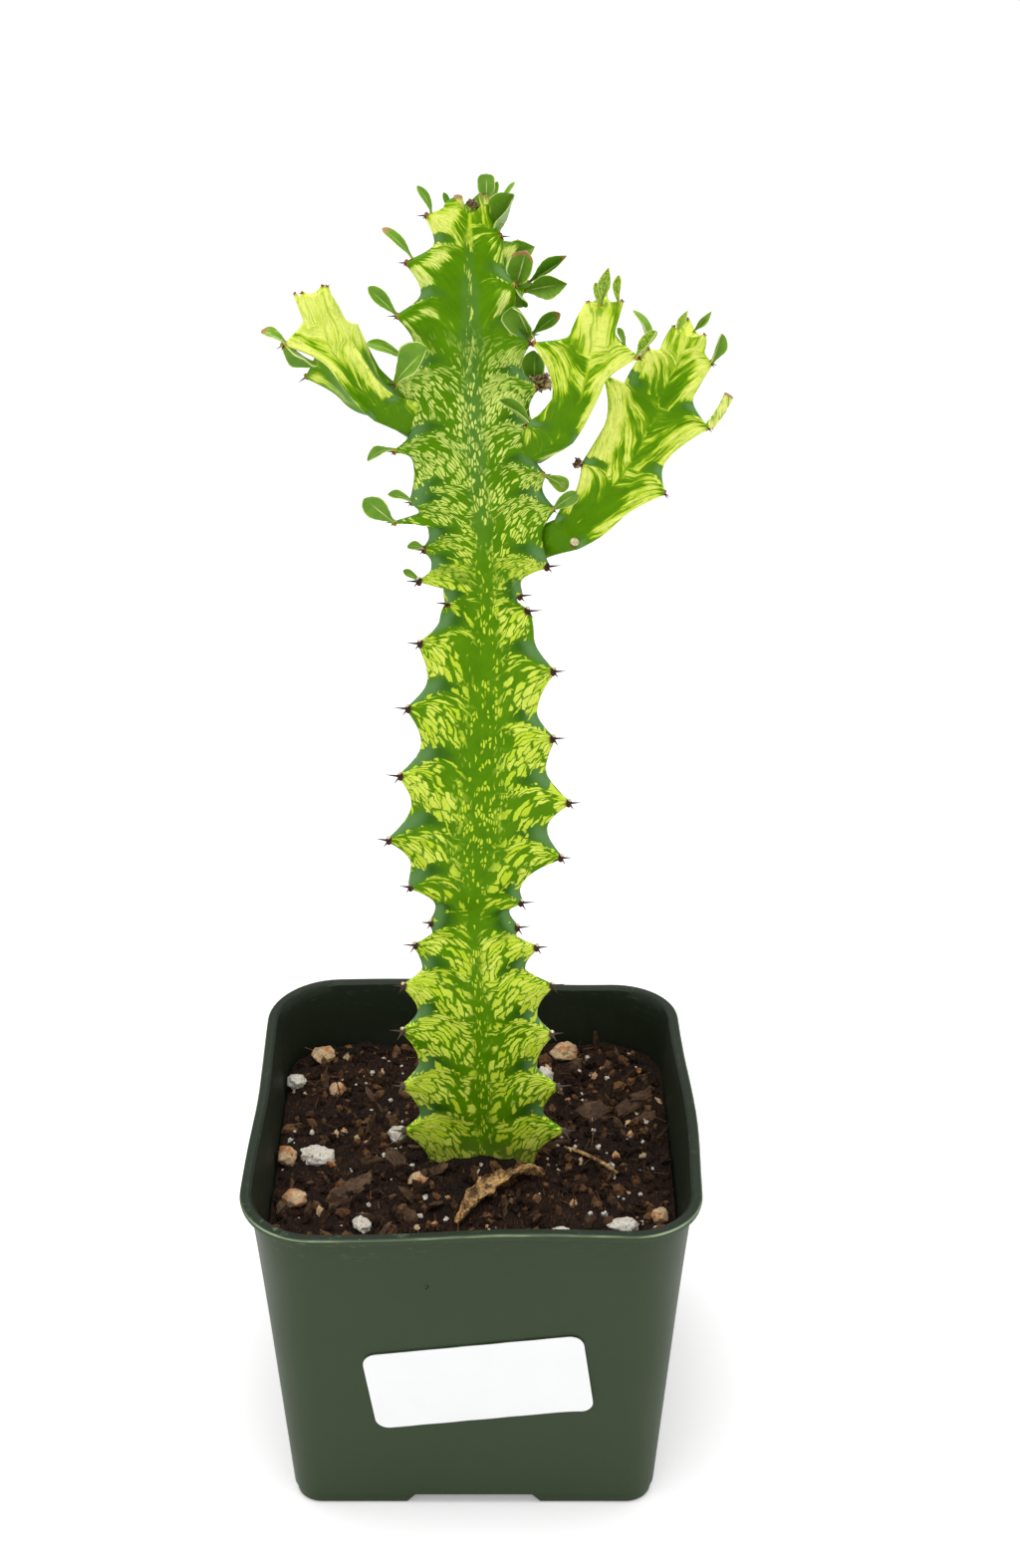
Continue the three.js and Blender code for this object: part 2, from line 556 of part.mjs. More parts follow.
// Each leaf grows at a rib and a tooth number; a shift parts it from another on the same tooth
const MAIN_LEAVES = [
  {
    name: 'leaf_left_low', at: [LEFT, 14], to: [-7.4, -1, 6.9], width: 6.2,
    face: [0.2, -1, 0.3], fold: 0.1,
  },
  { name: 'leaf_left_second', at: [LEFT, 15], to: [-6, 0, 2.4], width: 3, face: UPWARD },
  {
    name: 'leaf_left_drooping', at: [LEFT, 16], to: [-7, -0.5, -3.8], width: 4,
    face: UPWARD, arch: 0.2,
  },
  { name: 'leaf_left_front', at: [LEFT, 17], to: [7.6, -6, 11.6], width: 7, face: [-0.8, -0.6, 0.4] },
  {
    name: 'leaf_left_rear', at: [LEFT, 17], to: [-7, 6.5, 8.6], width: 3,
    face: [0.2, -0.8, 0.8], arch: -0.08, shift: [0, 0.7, -1],
  },
  { name: 'leaf_left_spoon', at: [LEFT, 18], to: [-7.2, 0, 7.4], width: 4.2, face: [0.3, -1, 0.2] },
  { name: 'leaf_left_upper', at: [LEFT, 19], to: [-6.2, 0, 8.4], width: 3.4, face: [0.6, -1, 0.2] },
  { name: 'leaf_left_top', at: [LEFT, 20], to: [-2.2, 0, 6.6], width: 2.8, face: [0.7, -1, 0] },
  { name: 'leaf_tip_folded', at: [RIGHT, 21], to: [-0.3, -0.6, 4.4], width: 4.4, face: FRONTWARD },
  {
    name: 'leaf_right_top', at: [RIGHT, 20], to: [2.8, -1.5, 6.6], width: 5,
    face: [-0.3, -1, 0.2], fold: 0.6,
  },
  {
    name: 'leaf_right_upper', at: [RIGHT, 19], to: [5.8, -2, 8], width: 5.4,
    face: [-0.2, -1, 0.4], fold: 0.4,
  },
  { name: 'leaf_right_large', at: [RIGHT, 18], to: [-2.8, -5, 10], width: 7.6, face: [-0.1, -1, 0.1] },
  {
    name: 'leaf_right_curled', at: [RIGHT, 15], to: [6.2, -0.5, -2], width: 3.6,
    face: UPWARD, arch: 0.22,
  },
  { name: 'leaf_right_low', at: [RIGHT, 14], to: [6, 0, 5.2], width: 2.8, face: UPWARD },
  {
    name: 'leaf_right_hanging', at: [RIGHT, 19], to: [3.4, 4.5, -5.5], width: 4.8,
    face: [-0.2, -1, 0.2],
  },
  { name: 'leaf_back_first', at: [BACK, 16], to: [3, -3, 7], width: 6.4, face: FRONTWARD, fold: 0.3 },
  { name: 'leaf_back_second', at: [BACK, 17], to: [6.4, -1, 4.8], width: 4.6, face: [-0.2, -0.9, 0.5] },
  { name: 'leaf_back_large', at: [BACK, 18], to: [9.6, -3, 2.5], width: 7.4, face: [-0.2, -1, 0.3] },
  {
    name: 'leaf_back_third', at: [BACK, 18], to: [7.5, 6.5, 5.5], width: 4.6,
    face: [-0.3, -1, 0.2], fold: 0.5, shift: [-0.8, 0.6, 1.4],
  },
  { name: 'leaf_back_top', at: [BACK, 19], to: [5, 0, -1.5], width: 3.8, face: FRONTWARD, fold: 0.4 },
];
const MAIN_BUDS = [
  { at: [LEFT, 12], to: [-4.2, 0, 3], width: 2.4, face: UPWARD },
  { at: [LEFT, 13], to: [-4.4, 0, 1], width: 2.8, face: UPWARD, arch: 0.2 },
  { at: [LEFT, 21], to: [-2.4, 1.5, 3], width: 2.2, face: FRONTWARD },
  { at: [BACK, 21], to: [1.5, 1, 4], width: 2.6, face: FRONTWARD },
  { at: [RIGHT, 17], to: [4.6, 0.5, 1.6], width: 4.4, face: UPWARD, fold: 0.6 },
];
const LEFT_LEAVES = [
  {
    name: 'leaf_left_branch_outer', at: [0, 1], to: [-6, 0.5, 2.4], width: 4.2,
    face: UPWARD, arch: 0.15,
  },
  {
    name: 'leaf_left_branch_under', at: [0, 1], to: [5.2, 3, -6.5], width: 4.4,
    face: [-0.6, -0.7, -0.3],
  },
];
const INNER_LEAVES = [
  {
    name: 'leaf_inner_low', at: [0, 0], to: [-7, -3, 7.6], width: 3.4,
    face: [0.4, -0.5, 0.8], fold: 0.7,
  },
  { name: 'leaf_inner_tip', at: [0, 2], to: [4.4, 0, 8.6], width: 4.2, face: [-0.3, -1, 0], fold: 0.4 },
  { name: 'leaf_inner_tip_small', at: [1, 2], to: [-1.2, 0, 6.4], width: 2.4, face: FRONTWARD },
  { name: 'leaf_inner_right_tall', at: [1, 1], to: [-2, 4.2, 9.6], width: 3.8, face: [0.5, -0.8, 0.1] },
  {
    name: 'leaf_inner_right_fork', at: [1, 1], to: [5.4, -3.5, 6.4], width: 3.6,
    face: [-0.6, -0.8, 0.2], fold: 0.5, shift: [0.2, -0.6, -1.2],
  },
];
const OUTER_LEAVES = [
  {
    name: 'leaf_outer_stub', at: [1, 2], to: [5.2, 0, 8.2], width: 2.2,
    face: [0.6, -0.8, -0.3], fold: 0,
  },
  { name: 'leaf_outer_round', at: [1, 3], to: [3.2, 0, 6.2], width: 4.4, face: [0.2, -1, 0] },
  { name: 'leaf_outer_tip', at: [1, 4], to: [3.2, 0, 4.8], width: 2.8, face: FRONTWARD, fold: 0.5 },
];
const OUTER_BUDS = [
  { at: [0, 4], to: [2, -0.5, 5], width: 2.6, face: FRONTWARD },
  { at: [2, 4], to: [-1, 1, 4.6], width: 2.4, face: FRONTWARD },
  { at: [0, 1], to: [-1.5, -1, 3], width: 2.2, face: UPWARD },
];

// A stem is cut clear of what stands there already, and its leaves are cut clear of every stem
function buildPlant() {
  const stems = [
    { name: 'main_stem', stem: mainStem(), leaves: MAIN_LEAVES, buds: MAIN_BUDS },
    { name: 'branch_left', stem: branchStem(LEFT_BRANCH), leaves: LEFT_LEAVES, buds: [] },
    { name: 'branch_right_inner', stem: branchStem(INNER_BRANCH), leaves: INNER_LEAVES, buds: [] },
    { name: 'branch_right_outer', stem: branchStem(OUTER_BRANCH), leaves: OUTER_LEAVES, buds: OUTER_BUDS },
  ];
  const keepOut = [];
  for (const { name, stem, buds } of stems) {
    let solid = uniteAll([stemSolid(stem), ...buds.map((bud) => leafSolid(tooth(stem, ...bud.at), bud))]);
    keepOut.forEach((cutter) => { solid = solid.subtract(cutter); });
    addPart(name, toGeometry(solid), 'stem');
    keepOut.push(stemSolid(stem, GAP));
  }
  for (const { stem, leaves } of stems) {
    for (const leaf of leaves) {
      let solid = leafSolid(tooth(stem, ...leaf.at), leaf);
      keepOut.forEach((cutter) => { solid = solid.subtract(cutter); });
      addPart(leaf.name, toGeometry(solid), 'leaf');
    }
  }
}

// Soil, with a plain hole for the stem, and what lies bedded on it

// The surface rises and falls in broad swells with shorter lumps between them
function soilTop(x, y) {
  const coarse = Math.sin(x * 0.19 + 0.6) * Math.cos(y * 0.16 - 0.4);
  const fine = Math.sin(x * 0.47 - y * 0.31 + 1.1) * Math.cos(x * 0.22 + y * 0.53);
  return SOIL.level + SOIL.coarse * coarse + SOIL.fine * fine;
}

const HOLE = { clear: 0.4, top: 101 };

function soilSolid(stem) {
  const side = (z) => innerRing(z, SOIL.clear);
  const edge = side(SOIL.edgeTop);
  const rings = [side(POT.floor + GAP), ...WALL_LEVELS.map((z) => side(z)), edge];
  for (const share of SOIL_RINGS) {
    rings.push(edge.map((p) => vec(p.x * share, p.y * share, soilTop(p.x * share, p.y * share))));
  }
  const body = toSolid(loft(rings, vec(0, 0, POT.floor + GAP), vec(0, 0, soilTop(0, 0))));
  const outline = ringAt(stem, 0, 0, 0);
  const middle = middleOf(outline);
  const widen = 1 + HOLE.clear / MAIN.core;
  const hole = [MAIN.foot - GAP, HOLE.top].map((z) => outline.map((p) => vec(
    middle.x + (p.x - middle.x) * widen, middle.y + (p.y - middle.y) * widen, z,
  )));
  return body.subtract(toSolid(loft(hole, middleOf(hole[0]), middleOf(hole[1]))));
}

// Lumps of perlite and pumice as [name, x, y, half length, half width, half height, turn, colour]
const STONES = [
  ['stone_back_round', 28, 51, 4.4, 3.8, 3.4, 20, 'pumice'],
  ['perlite_behind_stem', 22, 40, 3.4, 2.8, 3, 70, 'perlite'],
  ['stone_back_long', -49, 50, 4.6, 2.8, 2.8, 55, 'pumice'],
  ['perlite_left_back', -56.4, 35, 3.2, 2.6, 2.4, 30, 'perlite'],
  ['stone_left_back', -43.5, 31.6, 3, 2.2, 2, 120, 'pumice'],
  ['perlite_at_stem', -23.5, 6.5, 3, 2.8, 2.8, 80, 'perlite'],
  ['stone_left_edge', -56.4, -3, 4.2, 3, 3, 75, 'pumice'],
  ['perlite_large', -46.6, -3.2, 5.2, 4, 3.4, 15, 'perlite'],
  ['stone_left_front', -52.6, -24, 4, 3.2, 3, 40, 'pumice'],
  ['perlite_front_left', -32, -36, 3.4, 3, 3, 65, 'perlite'],
  ['stone_front_middle', -15.5, -14.5, 3.8, 3, 2.6, 160, 'pumice'],
  ['perlite_front_right', 43.5, -36, 5, 3, 2.8, 170, 'perlite'],
  ['perlite_front_cluster', 24.5, -40, 4, 3, 2.6, 10, 'perlite'],
  ['stone_right_edge', 54.5, -31, 3, 2.6, 2.8, 100, 'pumice'],
];

// Flat chips of bark as [name, x, y, length, width, turn]
const CHIPS = [
  ['bark_chip_behind', 36, 22, 11, 9, 50],
  ['bark_chip_right', 49, 24.5, 17, 6, 48],
  ['bark_chip_front', -37, -20, 20, 6.5, 50],
  ['bark_chip_left', -23.4, -6.4, 10, 6, 118],
];
const CHIP_OUTLINE = [[-0.5, -0.3], [-0.1, -0.5], [0.42, -0.38], [0.5, 0.16], [0.2, 0.5], [-0.34, 0.4]];
const CHIP = { thick: 2.2, slope: 7, sunk: 0.2 };
const STONE = { broad: 0.12, sharp: 0.08, lift: 0.45 };

// The curled dry leaf and the straw each lie along a few points, as [x, y, height above the soil]
const DRY_LEAF = {
  width: 5.4, thick: 0.8, curl: 0.5, narrow: 0.25,
  path: [[-4.5, -34.5, 1.2], [0.5, -27.5, 2.4], [7.5, -20.5, 3.3], [14.5, -16, 2.8], [21, -13.5, 1.4]],
};
const STRAW = { radius: 0.6, path: [[27.5, 1.5, 1], [33, -2, 2.1], [38.5, -7, 2], [43, -11, 1.1]] };
const TWIG = { radius: 1, x: 39, y: 55, sunk: 1, lean: [-0.6, 0.4, 8] };

function stoneSolid([, x, y, a, b, c, turn], soil) {
  const geometry = new THREE.IcosahedronGeometry(1, 1);
  const position = geometry.attributes.position;
  for (let i = 0; i < position.count; i += 1) {
    const p = vec().fromBufferAttribute(position, i);
    const broad = Math.sin(5 * p.x + x) * Math.cos(4 * p.y + y);
    const sharp = Math.sin(7 * p.z + x - y);
    p.multiplyScalar(1 + STONE.broad * broad + STONE.sharp * sharp);
    position.setXYZ(i, p.x * a, p.y * b, p.z * c);
  }
  geometry.rotateZ(radians(turn));
  geometry.translate(x, y, soilTop(x, y) + c * STONE.lift);
  return toSolid(geometry).subtract(soil);
}

function chipSolid([, x, y, length, width, turn], soil) {
  const shape = new THREE.Shape(CHIP_OUTLINE.map(([u, v]) => new THREE.Vector2(u * length, v * width)));
  const geometry = new THREE.ExtrudeGeometry(shape, { depth: CHIP.thick, bevelEnabled: false });
  geometry.rotateX(radians(CHIP.slope));
  geometry.rotateZ(radians(turn));
  geometry.translate(x, y, soilTop(x, y) - CHIP.sunk);
  return toSolid(geometry).subtract(soil);
}

function dryLeafSolid(soil) {
  const spots = DRY_LEAF.path.map(([x, y, up]) => vec(x, y, soilTop(x, y) + up));
  const rings = spots.map((spot, i) => {
    const before = spots[Math.max(i - 1, 0)];
    const after = spots[Math.min(i + 1, spots.length - 1)];
    const way = after.clone().sub(before).normalize();
    const sideways = way.clone().cross(vec(0, 0, 1)).normalize();
    const up = sideways.clone().cross(way);
    const fullness = mix(DRY_LEAF.narrow, 1, Math.sin(Math.PI * (i + 0.6) / spots.length));
    const half = (DRY_LEAF.width / 2) * fullness;
    const rise = DRY_LEAF.curl * half;
    return bladeRing(spot, sideways, up, { half, rise, low: 0, thick: DRY_LEAF.thick });
  });
  return toSolid(loft(rings, middleOf(rings[0]), middleOf(rings.at(-1)))).subtract(soil);
}

function rodSolid(points, radius, soil) {
  const curve = new THREE.CatmullRomCurve3(points);
  const section = new THREE.Shape();
  section.absarc(0, 0, radius, 0, Math.PI * 2);
  const settings = { steps: points.length, extrudePath: curve, bevelEnabled: false, curveSegments: 3 };
  return toSolid(new THREE.ExtrudeGeometry(section, settings)).subtract(soil);
}

function buildSoil() {
  const soil = soilSolid(mainStem());
  addPart('soil', toGeometry(soil), 'soil');
  const bed = soil.translate([0, 0, GAP]);
  STONES.forEach((stone) => addPart(stone[0], toGeometry(stoneSolid(stone, bed)), stone[7]));
  CHIPS.forEach((chip) => addPart(chip[0], toGeometry(chipSolid(chip, bed)), 'bark'));
  addPart('dry_leaf', toGeometry(dryLeafSolid(bed)), 'dried');
  const straw = STRAW.path.map(([x, y, up]) => vec(x, y, soilTop(x, y) + up));
  addPart('straw', toGeometry(rodSolid(straw, STRAW.radius, bed)), 'dried');
  const foot = vec(TWIG.x, TWIG.y, soilTop(TWIG.x, TWIG.y) - TWIG.sunk);
  const twig = [0, 0.5, 1].map((share) => foot.clone().addScaledVector(vec(...TWIG.lean), share));
  addPart('twig', toGeometry(rodSolid(twig, TWIG.radius, bed)), 'bark');
}

buildPot();
buildLabel();
buildSoil();
buildPlant();

export default part;
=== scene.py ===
"""A ribbed succulent with yellow-streaked skin in a square nursery pot, dressed round its solids.

Metres in Blender. The tables of the plant are in millimetres, as it was measured, and +Z is up,
-Y the front.
"""
import math

import bmesh
import bpy
import numpy as np
from mathutils import Matrix, Vector, noise


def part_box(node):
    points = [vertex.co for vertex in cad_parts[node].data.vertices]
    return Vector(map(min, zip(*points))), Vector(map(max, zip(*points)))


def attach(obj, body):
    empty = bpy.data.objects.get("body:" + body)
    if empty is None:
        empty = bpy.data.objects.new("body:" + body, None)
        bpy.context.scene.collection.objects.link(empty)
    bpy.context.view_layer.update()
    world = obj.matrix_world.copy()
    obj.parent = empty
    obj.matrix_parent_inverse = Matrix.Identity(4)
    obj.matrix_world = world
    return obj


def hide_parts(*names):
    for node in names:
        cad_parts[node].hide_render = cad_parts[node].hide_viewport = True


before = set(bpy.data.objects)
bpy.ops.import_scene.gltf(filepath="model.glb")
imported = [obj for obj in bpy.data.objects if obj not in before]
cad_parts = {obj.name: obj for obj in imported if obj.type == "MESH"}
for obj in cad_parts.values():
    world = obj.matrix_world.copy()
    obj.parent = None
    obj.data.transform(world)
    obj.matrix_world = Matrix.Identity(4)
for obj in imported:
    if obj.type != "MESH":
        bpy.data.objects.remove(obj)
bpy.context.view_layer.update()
MM = 0.001

# Driving dimensions of the pot
POT_HEIGHT = 110
RIM_HALF = 65
RIM_CORNER = 21
BODY_TOP_HALF = 62.6
LIP_HEIGHT = 3.2
LIP_ROUND = 0.9
WALL = 1.3
BASE_HALF = 54
BASE_CORNER = 8
FLOOR = 5.4
FOOT_HEIGHT = 4
FOOT_INSET = 0.4
CHANNEL_HALF = 17
CHANNEL_SLOPE = 4.4
DRAIN_RADIUS = 4
DRAIN_SIDES = 28
DRAIN_OFFSET = 27

# The wall bows out of true above a height: how far at each bearing on the rim, in degrees, and
# how far the rim waves up and down
BOW_FROM = 60
RIM_BOW = [
    (-90, -0.7), (-48, 0.2), (-12, 1.6), (38, -1.3), (90, 0.2), (140, 0.9), (180, -0.2),
    (216, 0.8), (270, -0.7),
]
RIM_WAVE = 0.9
RIM_WAVES = 4
RIM_WAVE_FROM = 92

# Rings at the pot's foot: how far each is set in, and its height
FOOT_ROUND = [(1.2, 0), (0.6, 0.1), (0.15, 0.5), (0, 1.3)]
# Rings under the lip's inner edge: out from the wall, in from the rim's corner, and down
LIP_INSIDE = [(1.2, 2, 0.05), (0.5, 2.6, 0.6)]

# The label on the front wall
LABEL_SIZE = (64, 30)
LABEL_CORNER = 4
LABEL_TILT = 7.4
LABEL_CENTRE = (1.8, 52)
LABEL_STEPS = (64, 24)
LABEL_SIDES = (0.32, 0.62)
LABEL_LOOSE = 0.9

# The peat in the pot
SOIL_LEVEL = 89.6
SOIL_EDGE = 88.5
SOIL_GAP = 0.45
SOIL_FOOT = FLOOR + 0.5
MOUND = 4.2
MOUND_MIDDLE = (-1, -2)
MOUND_REACH = 22
HOLE_BOTTOM = 63.7
HOLE_CLEARANCE = 0.4

# The stems: rib edges as rows of notch, tooth, notch, tooth, each (x, z)
LEFT_RIB = [
    (-12.6, 93), (-20.5, 107), (-15, 111.5), (-20.5, 123), (-15, 130), (-20, 142), (-15, 147.5),
    (-19.5, 157), (-13.5, 161.5), (-16, 169.5), (-10.5, 172), (-11.5, 175.5), (-9.5, 180.5),
    (-17, 189), (-16, 196), (-22.5, 206), (-15.5, 215.5), (-19, 225.5), (-12.5, 234),
    (-16.5, 245.5), (-10.5, 253), (-13, 264), (-7, 270), (-5.5, 274), (-6, 278), (-13, 282),
    (-9, 286.5), (-11.5, 290.5), (-9.5, 294), (-19, 299.5), (-12, 301), (-14.5, 304),
    (-13, 312.5), (-18.5, 318.5), (-13.5, 327.5), (-17.5, 336), (-12.5, 345.5), (-17, 353.5),
    (-10.5, 358.5), (-14.5, 366.5), (-7, 370.5), (-9.5, 377.5), (-4.5, 379.2), (-2.5, 381),
]
RIGHT_RIB = [
    (17.6, 93), (27, 107), (20, 111.5), (25, 122.5), (18, 127.5), (23, 140.5), (18, 146),
    (23, 157.5), (14.5, 160.5), (18.5, 169), (12, 171), (13, 174), (10, 178.5), (14, 182.5),
    (13, 186.5), (25, 200), (20.5, 208), (27, 217.5), (20, 226.5), (22.5, 236), (17.5, 243),
    (22.5, 256), (16.5, 265), (15.5, 272), (12, 274.5), (13.5, 276), (13, 279.5), (20.5, 286),
    (18.5, 294), (22, 302.5), (18.5, 307.5), (19.5, 311.5), (16, 317), (18, 322), (15, 328.5),
    (17.5, 334.5), (13, 339.5), (15.5, 346), (11.5, 354), (12, 360), (8.5, 366), (8.5, 372),
    (5, 378.4), (5, 381),
]
AXIS_X = [
    (60, 3.2), (105, 3.2), (140, 2.2), (167, 0.9), (182, 0.6), (197, 1.4), (216, 3.2), (250, 4.2),
    (275, 4.6), (299, 3.4), (320, 2), (344, 1.2), (367, 0.8), (390, 1.4),
]

# The two front ribs lean this far towards the front. The back rib's bearing changes up the stem,
# its teeth are staggered upwards, and it reaches further from one row to another.
FRONT_TURN = math.radians(27)
BACK_TURN = [(60, 90), (180, 88), (275, 70), (325, 52), (390, 48)]
BACK_STAGGER = 4.5
BACK_LONG = (31, 39, 1.25)
BACK_TAPER = 30

# The stem's top, its foot in the soil and the left rib's teeth that taper over a longer rise
TIP_Z = 380.5
APEX = (1.6, 0, 377)
FOOT_LEVELS = (64, 91)
LONG_TEETH = (12, 14, 16)

# The side branches: axis and ribs as (x, y, z) in the same rows. "bare" lists, rib by rib, the
# teeth without spines.
LEFT_BRANCH = {
    "core": 3.4, "edge": 0.8, "apex": (-37.2, -10.8, 358.6), "bare": [(0,), (0, 1), (0, 1), (0,)],
    "axis": [
        (-13, -5, 321), (-20.5, -8.5, 327.5), (-25.5, -9.5, 333), (-32, -10.5, 344.5),
        (-35.5, -11, 351.5), (-38, -11.5, 359.3),
    ],
    "ribs": [
        [(-14, -6, 321), (-23, -11.5, 327.5), (-32.3, -15, 341), (-44.6, -16, 348.4),
         (-39.4, -14, 354.1), (-41.7, -13.5, 360.6)],
        [(-9, -6, 328), (-17, -11.5, 332.6), (-23, -14.5, 338.6), (-29, -14, 348.5),
         (-32.6, -13.5, 356.4), (-34, -12.5, 362)],
        [(-10, -1, 329), (-18, -2.5, 333), (-22.6, -4, 338), (-27.8, -3.5, 349.4),
         (-31, -6, 351.8), (-35.4, -8.5, 361)],
        [(-14, -1, 320), (-23, -3.5, 326), (-30.6, -4.5, 329.6), (-40.6, -3.5, 336),
         (-37.4, -6.5, 349), (-40.4, -9, 359.4)],
    ],
}
INNER_BRANCH = {
    "core": 4, "edge": 0.9, "apex": (34, -14, 358.6), "bare": [(), (0,), (0,)],
    "axis": [
        (15, -4, 314.5), (20.5, -11, 320.5), (26, -13.5, 329), (29.5, -14, 341), (32, -14, 350.5),
        (34.2, -14, 359.2),
    ],
    "ribs": [
        [(12.5, -4.5, 318), (15.5, -14, 327), (22, -17, 334.6), (16.7, -18.5, 349.5),
         (26.4, -16.5, 351), (30.1, -15.5, 359)],
        [(18.5, -4.5, 314), (26.4, -14, 322.5), (33, -16.5, 337), (42.3, -17, 345.6),
         (36.1, -15.5, 352), (38.2, -15, 359.2)],
        [(16.5, -5, 315), (21.5, -5.5, 325), (26, -7, 335), (30, -6, 345), (32, -9.5, 352.5),
         (34.2, -10.5, 359.6)],
    ],
}
OUTER_BRANCH = {
    "core": 4.2, "edge": 0.9, "apex": (55, -5, 346.4), "bare": [(0,), (0,), (0,)],
    "axis": [
        (17.5, -2, 289), (24.5, -6.5, 294.5), (31, -6.5, 301), (37.5, -6, 308.5),
        (41.5, -5.5, 314.5), (46.5, -5, 324.5), (48.6, -5, 331), (52.2, -5, 339),
        (53.8, -5, 342.6), (55.4, -5, 347),
    ],
    "ribs": [
        [(16.5, -3, 293), (22.8, -9.5, 299), (27.4, -9, 305.4), (29.6, -9.5, 314.6),
         (35.4, -9, 324.5), (34.7, -9, 338), (40.2, -8, 335.4), (45.2, -8.5, 344.6),
         (49, -7.5, 344), (51.9, -7, 350.2)],
        [(19.5, -3, 286.5), (28, -11, 292.4), (38.5, -9.5, 299.6), (50.4, -9, 306.8),
         (49.8, -8, 314.4), (61, -8.5, 324.2), (56.6, -7.5, 332.2), (61.2, -7.5, 340.9),
         (59, -7, 344.4), (59.3, -7, 348.2)],
        [(17.5, -1, 288), (26, 0.5, 297), (32.5, 1, 304), (40, 4, 313), (43.5, 1.5, 319),
         (48, 4.5, 329), (49.5, 1, 334.5), (53, 3, 343), (54.4, 0, 344.8), (55.6, 0, 350)],
    ],
}

# Leaves: the rib and tooth that each grows from, the way to its tip, its width and the way its
# upper face looks. Then how far it folds and arches, its outline, whether it is burnt or light,
# and where its foot is if off the tooth: "at" that place, or on the skin "near" it.
LEFT, RIGHT, BACK = 0, 1, 2
FRONTWARD = (0, -1, 0.3)
UPWARD = (0, -0.6, 0.9)
MAIN_LEAVES = {
    "leaf_left_low": (LEFT, 14, (-7.4, -1, 6.9), 6.2, (0.2, -1, 0.3), {"fold": 0.15}),
    "leaf_left_second": (LEFT, 15, (-6, 0, 2.4), 3, UPWARD, {"arch": 0.16}),
    "leaf_left_drooping": (LEFT, 16, (-6.8, -0.5, -2.6), 4.2, UPWARD, {"arch": 0.32, "fold": 0.3}),
    "leaf_left_front": (LEFT, 17, (7.4, -6, 11.4), 9.2, (-0.7, -0.7, 0.3), {"fold": 0.3}),
    "leaf_left_rear": (
        LEFT, 17, (-8, 2, 3.2), 3.4, (0.2, -0.9, 0.7), {"arch": 0.2, "near": (-17.4, 2, 339.4)},
    ),
    "leaf_left_spoon": (LEFT, 18, (-7.2, 0, 7.4), 4.2, (0.3, -1, 0.2), {"arch": 0.16}),
    "leaf_left_upper": (
        LEFT, 19, (-6.8, 0, 7.2), 3.2, (0.6, -1, 0.2),
        {"near": (-13.7, -0.8, 366), "arch": 0.2, "burnt": 1},
    ),
    "leaf_left_top": (
        LEFT, 20, (-3, -0.5, 6.8), 2.5, (0.7, -1, 0), {"near": (-8.7, 0, 376.8), "arch": 0.22},
    ),
    "leaf_tip_folded": (
        RIGHT, 21, (0.1, -0.4, 5.4), 4.8, FRONTWARD,
        {"at": (5.1, -2.6, 381.8), "fold": 0.3, "blunt": 1},
    ),
    "leaf_right_top": (
        RIGHT, 20, (3.2, -1.6, 9.4), 7.4, (-0.8, -0.62, 0.2),
        {"fold": 0.95, "at": (7.5, -0.5, 372.4), "blunt": 1},
    ),
    "leaf_right_upper": (
        RIGHT, 19, (1.8, -2.4, 7.8), 7.2, (-0.1, -1, 0.5),
        {"fold": 0.55, "at": (12.8, -2.6, 360.4), "blunt": 1, "burnt": 1},
    ),
    "leaf_right_large": (
        RIGHT, 18, (-5.2, -5, 9.6), 8.6, (-0.3, -1, 0.1), {"at": (16.4, -4, 346.6), "fold": 0.5},
    ),
    "leaf_right_curled": (
        RIGHT, 15, (6.4, -0.5, -3.4), 4.8, (0.2, -1, 0.3), {"arch": 0.3, "fold": 0.5},
    ),
    "leaf_right_low": (RIGHT, 14, (6.4, 0, 4.6), 4.4, (-0.3, -1, 0.3), {"arch": 0.24, "fold": 0.4}),
    "leaf_right_hanging": (RIGHT, 19, (2.4, 3, -5.8), 5, (-0.5, -1, 0.1), {"fold": 0.5}),
    "leaf_back_first": (BACK, 16, (-0.2, -1.5, 10.6), 7, FRONTWARD, {"fold": 0.4}),
    "leaf_back_second": (
        BACK, 17, (7, -1.4, 6.2), 4.4, (-0.2, -0.9, 0.5), {"fold": 0.5, "burnt": 1},
    ),
    "leaf_back_large": (
        BACK, 18, (9.8, -3.4, 3.4), 7.2, (-0.2, -1, 0.3), {"near": (16, 17, 351.6), "sharp": 1},
    ),
    "leaf_back_third": (
        BACK, 18, (9, 0.2, 6.6), 4.9, (-0.4, -1, 0.2),
        {"fold": 0.9, "at": (16.4, 17.8, 354.4), "sharp": 1, "burnt": 1},
    ),
    "leaf_back_top": (
        BACK, 19, (9, 0.4, 3.2), 7.5, (-0.3, -1, 0.1), {"at": (8.2, 14.2, 361), "sharp": 1},
    ),
}
MAIN_BUDS = [
    (LEFT, 12, (-4.2, 0, 3), 2.4, UPWARD, {}),
    (LEFT, 13, (-4.4, 0, 1), 2.8, UPWARD, {"arch": 0.2}),
    (LEFT, 21, (-1.7, 0, 4.3), 1.9, FRONTWARD, {"at": (-3.8, 2, 377)}),
    (BACK, 21, (1.2, 0, 5.6), 2.3, (-0.6, -1, 0), {"near": (6.9, 0, 379)}),
    (BACK, 21, (2, 0, 3.8), 1.8, (-0.7, -1, 0), {"near": (10, 2, 380.2)}),
]
LEFT_LEAVES = {
    "leaf_left_branch_outer": (0, 1, (-5.9, 0.4, 3), 4, UPWARD, {"arch": 0.24, "burnt": 1}),
    "leaf_left_branch_under": (
        0, 1, (6.8, 3.2, -6.6), 6.2, (-0.5, -0.8, -0.3), {"fold": 0.4, "blunt": 1},
    ),
}
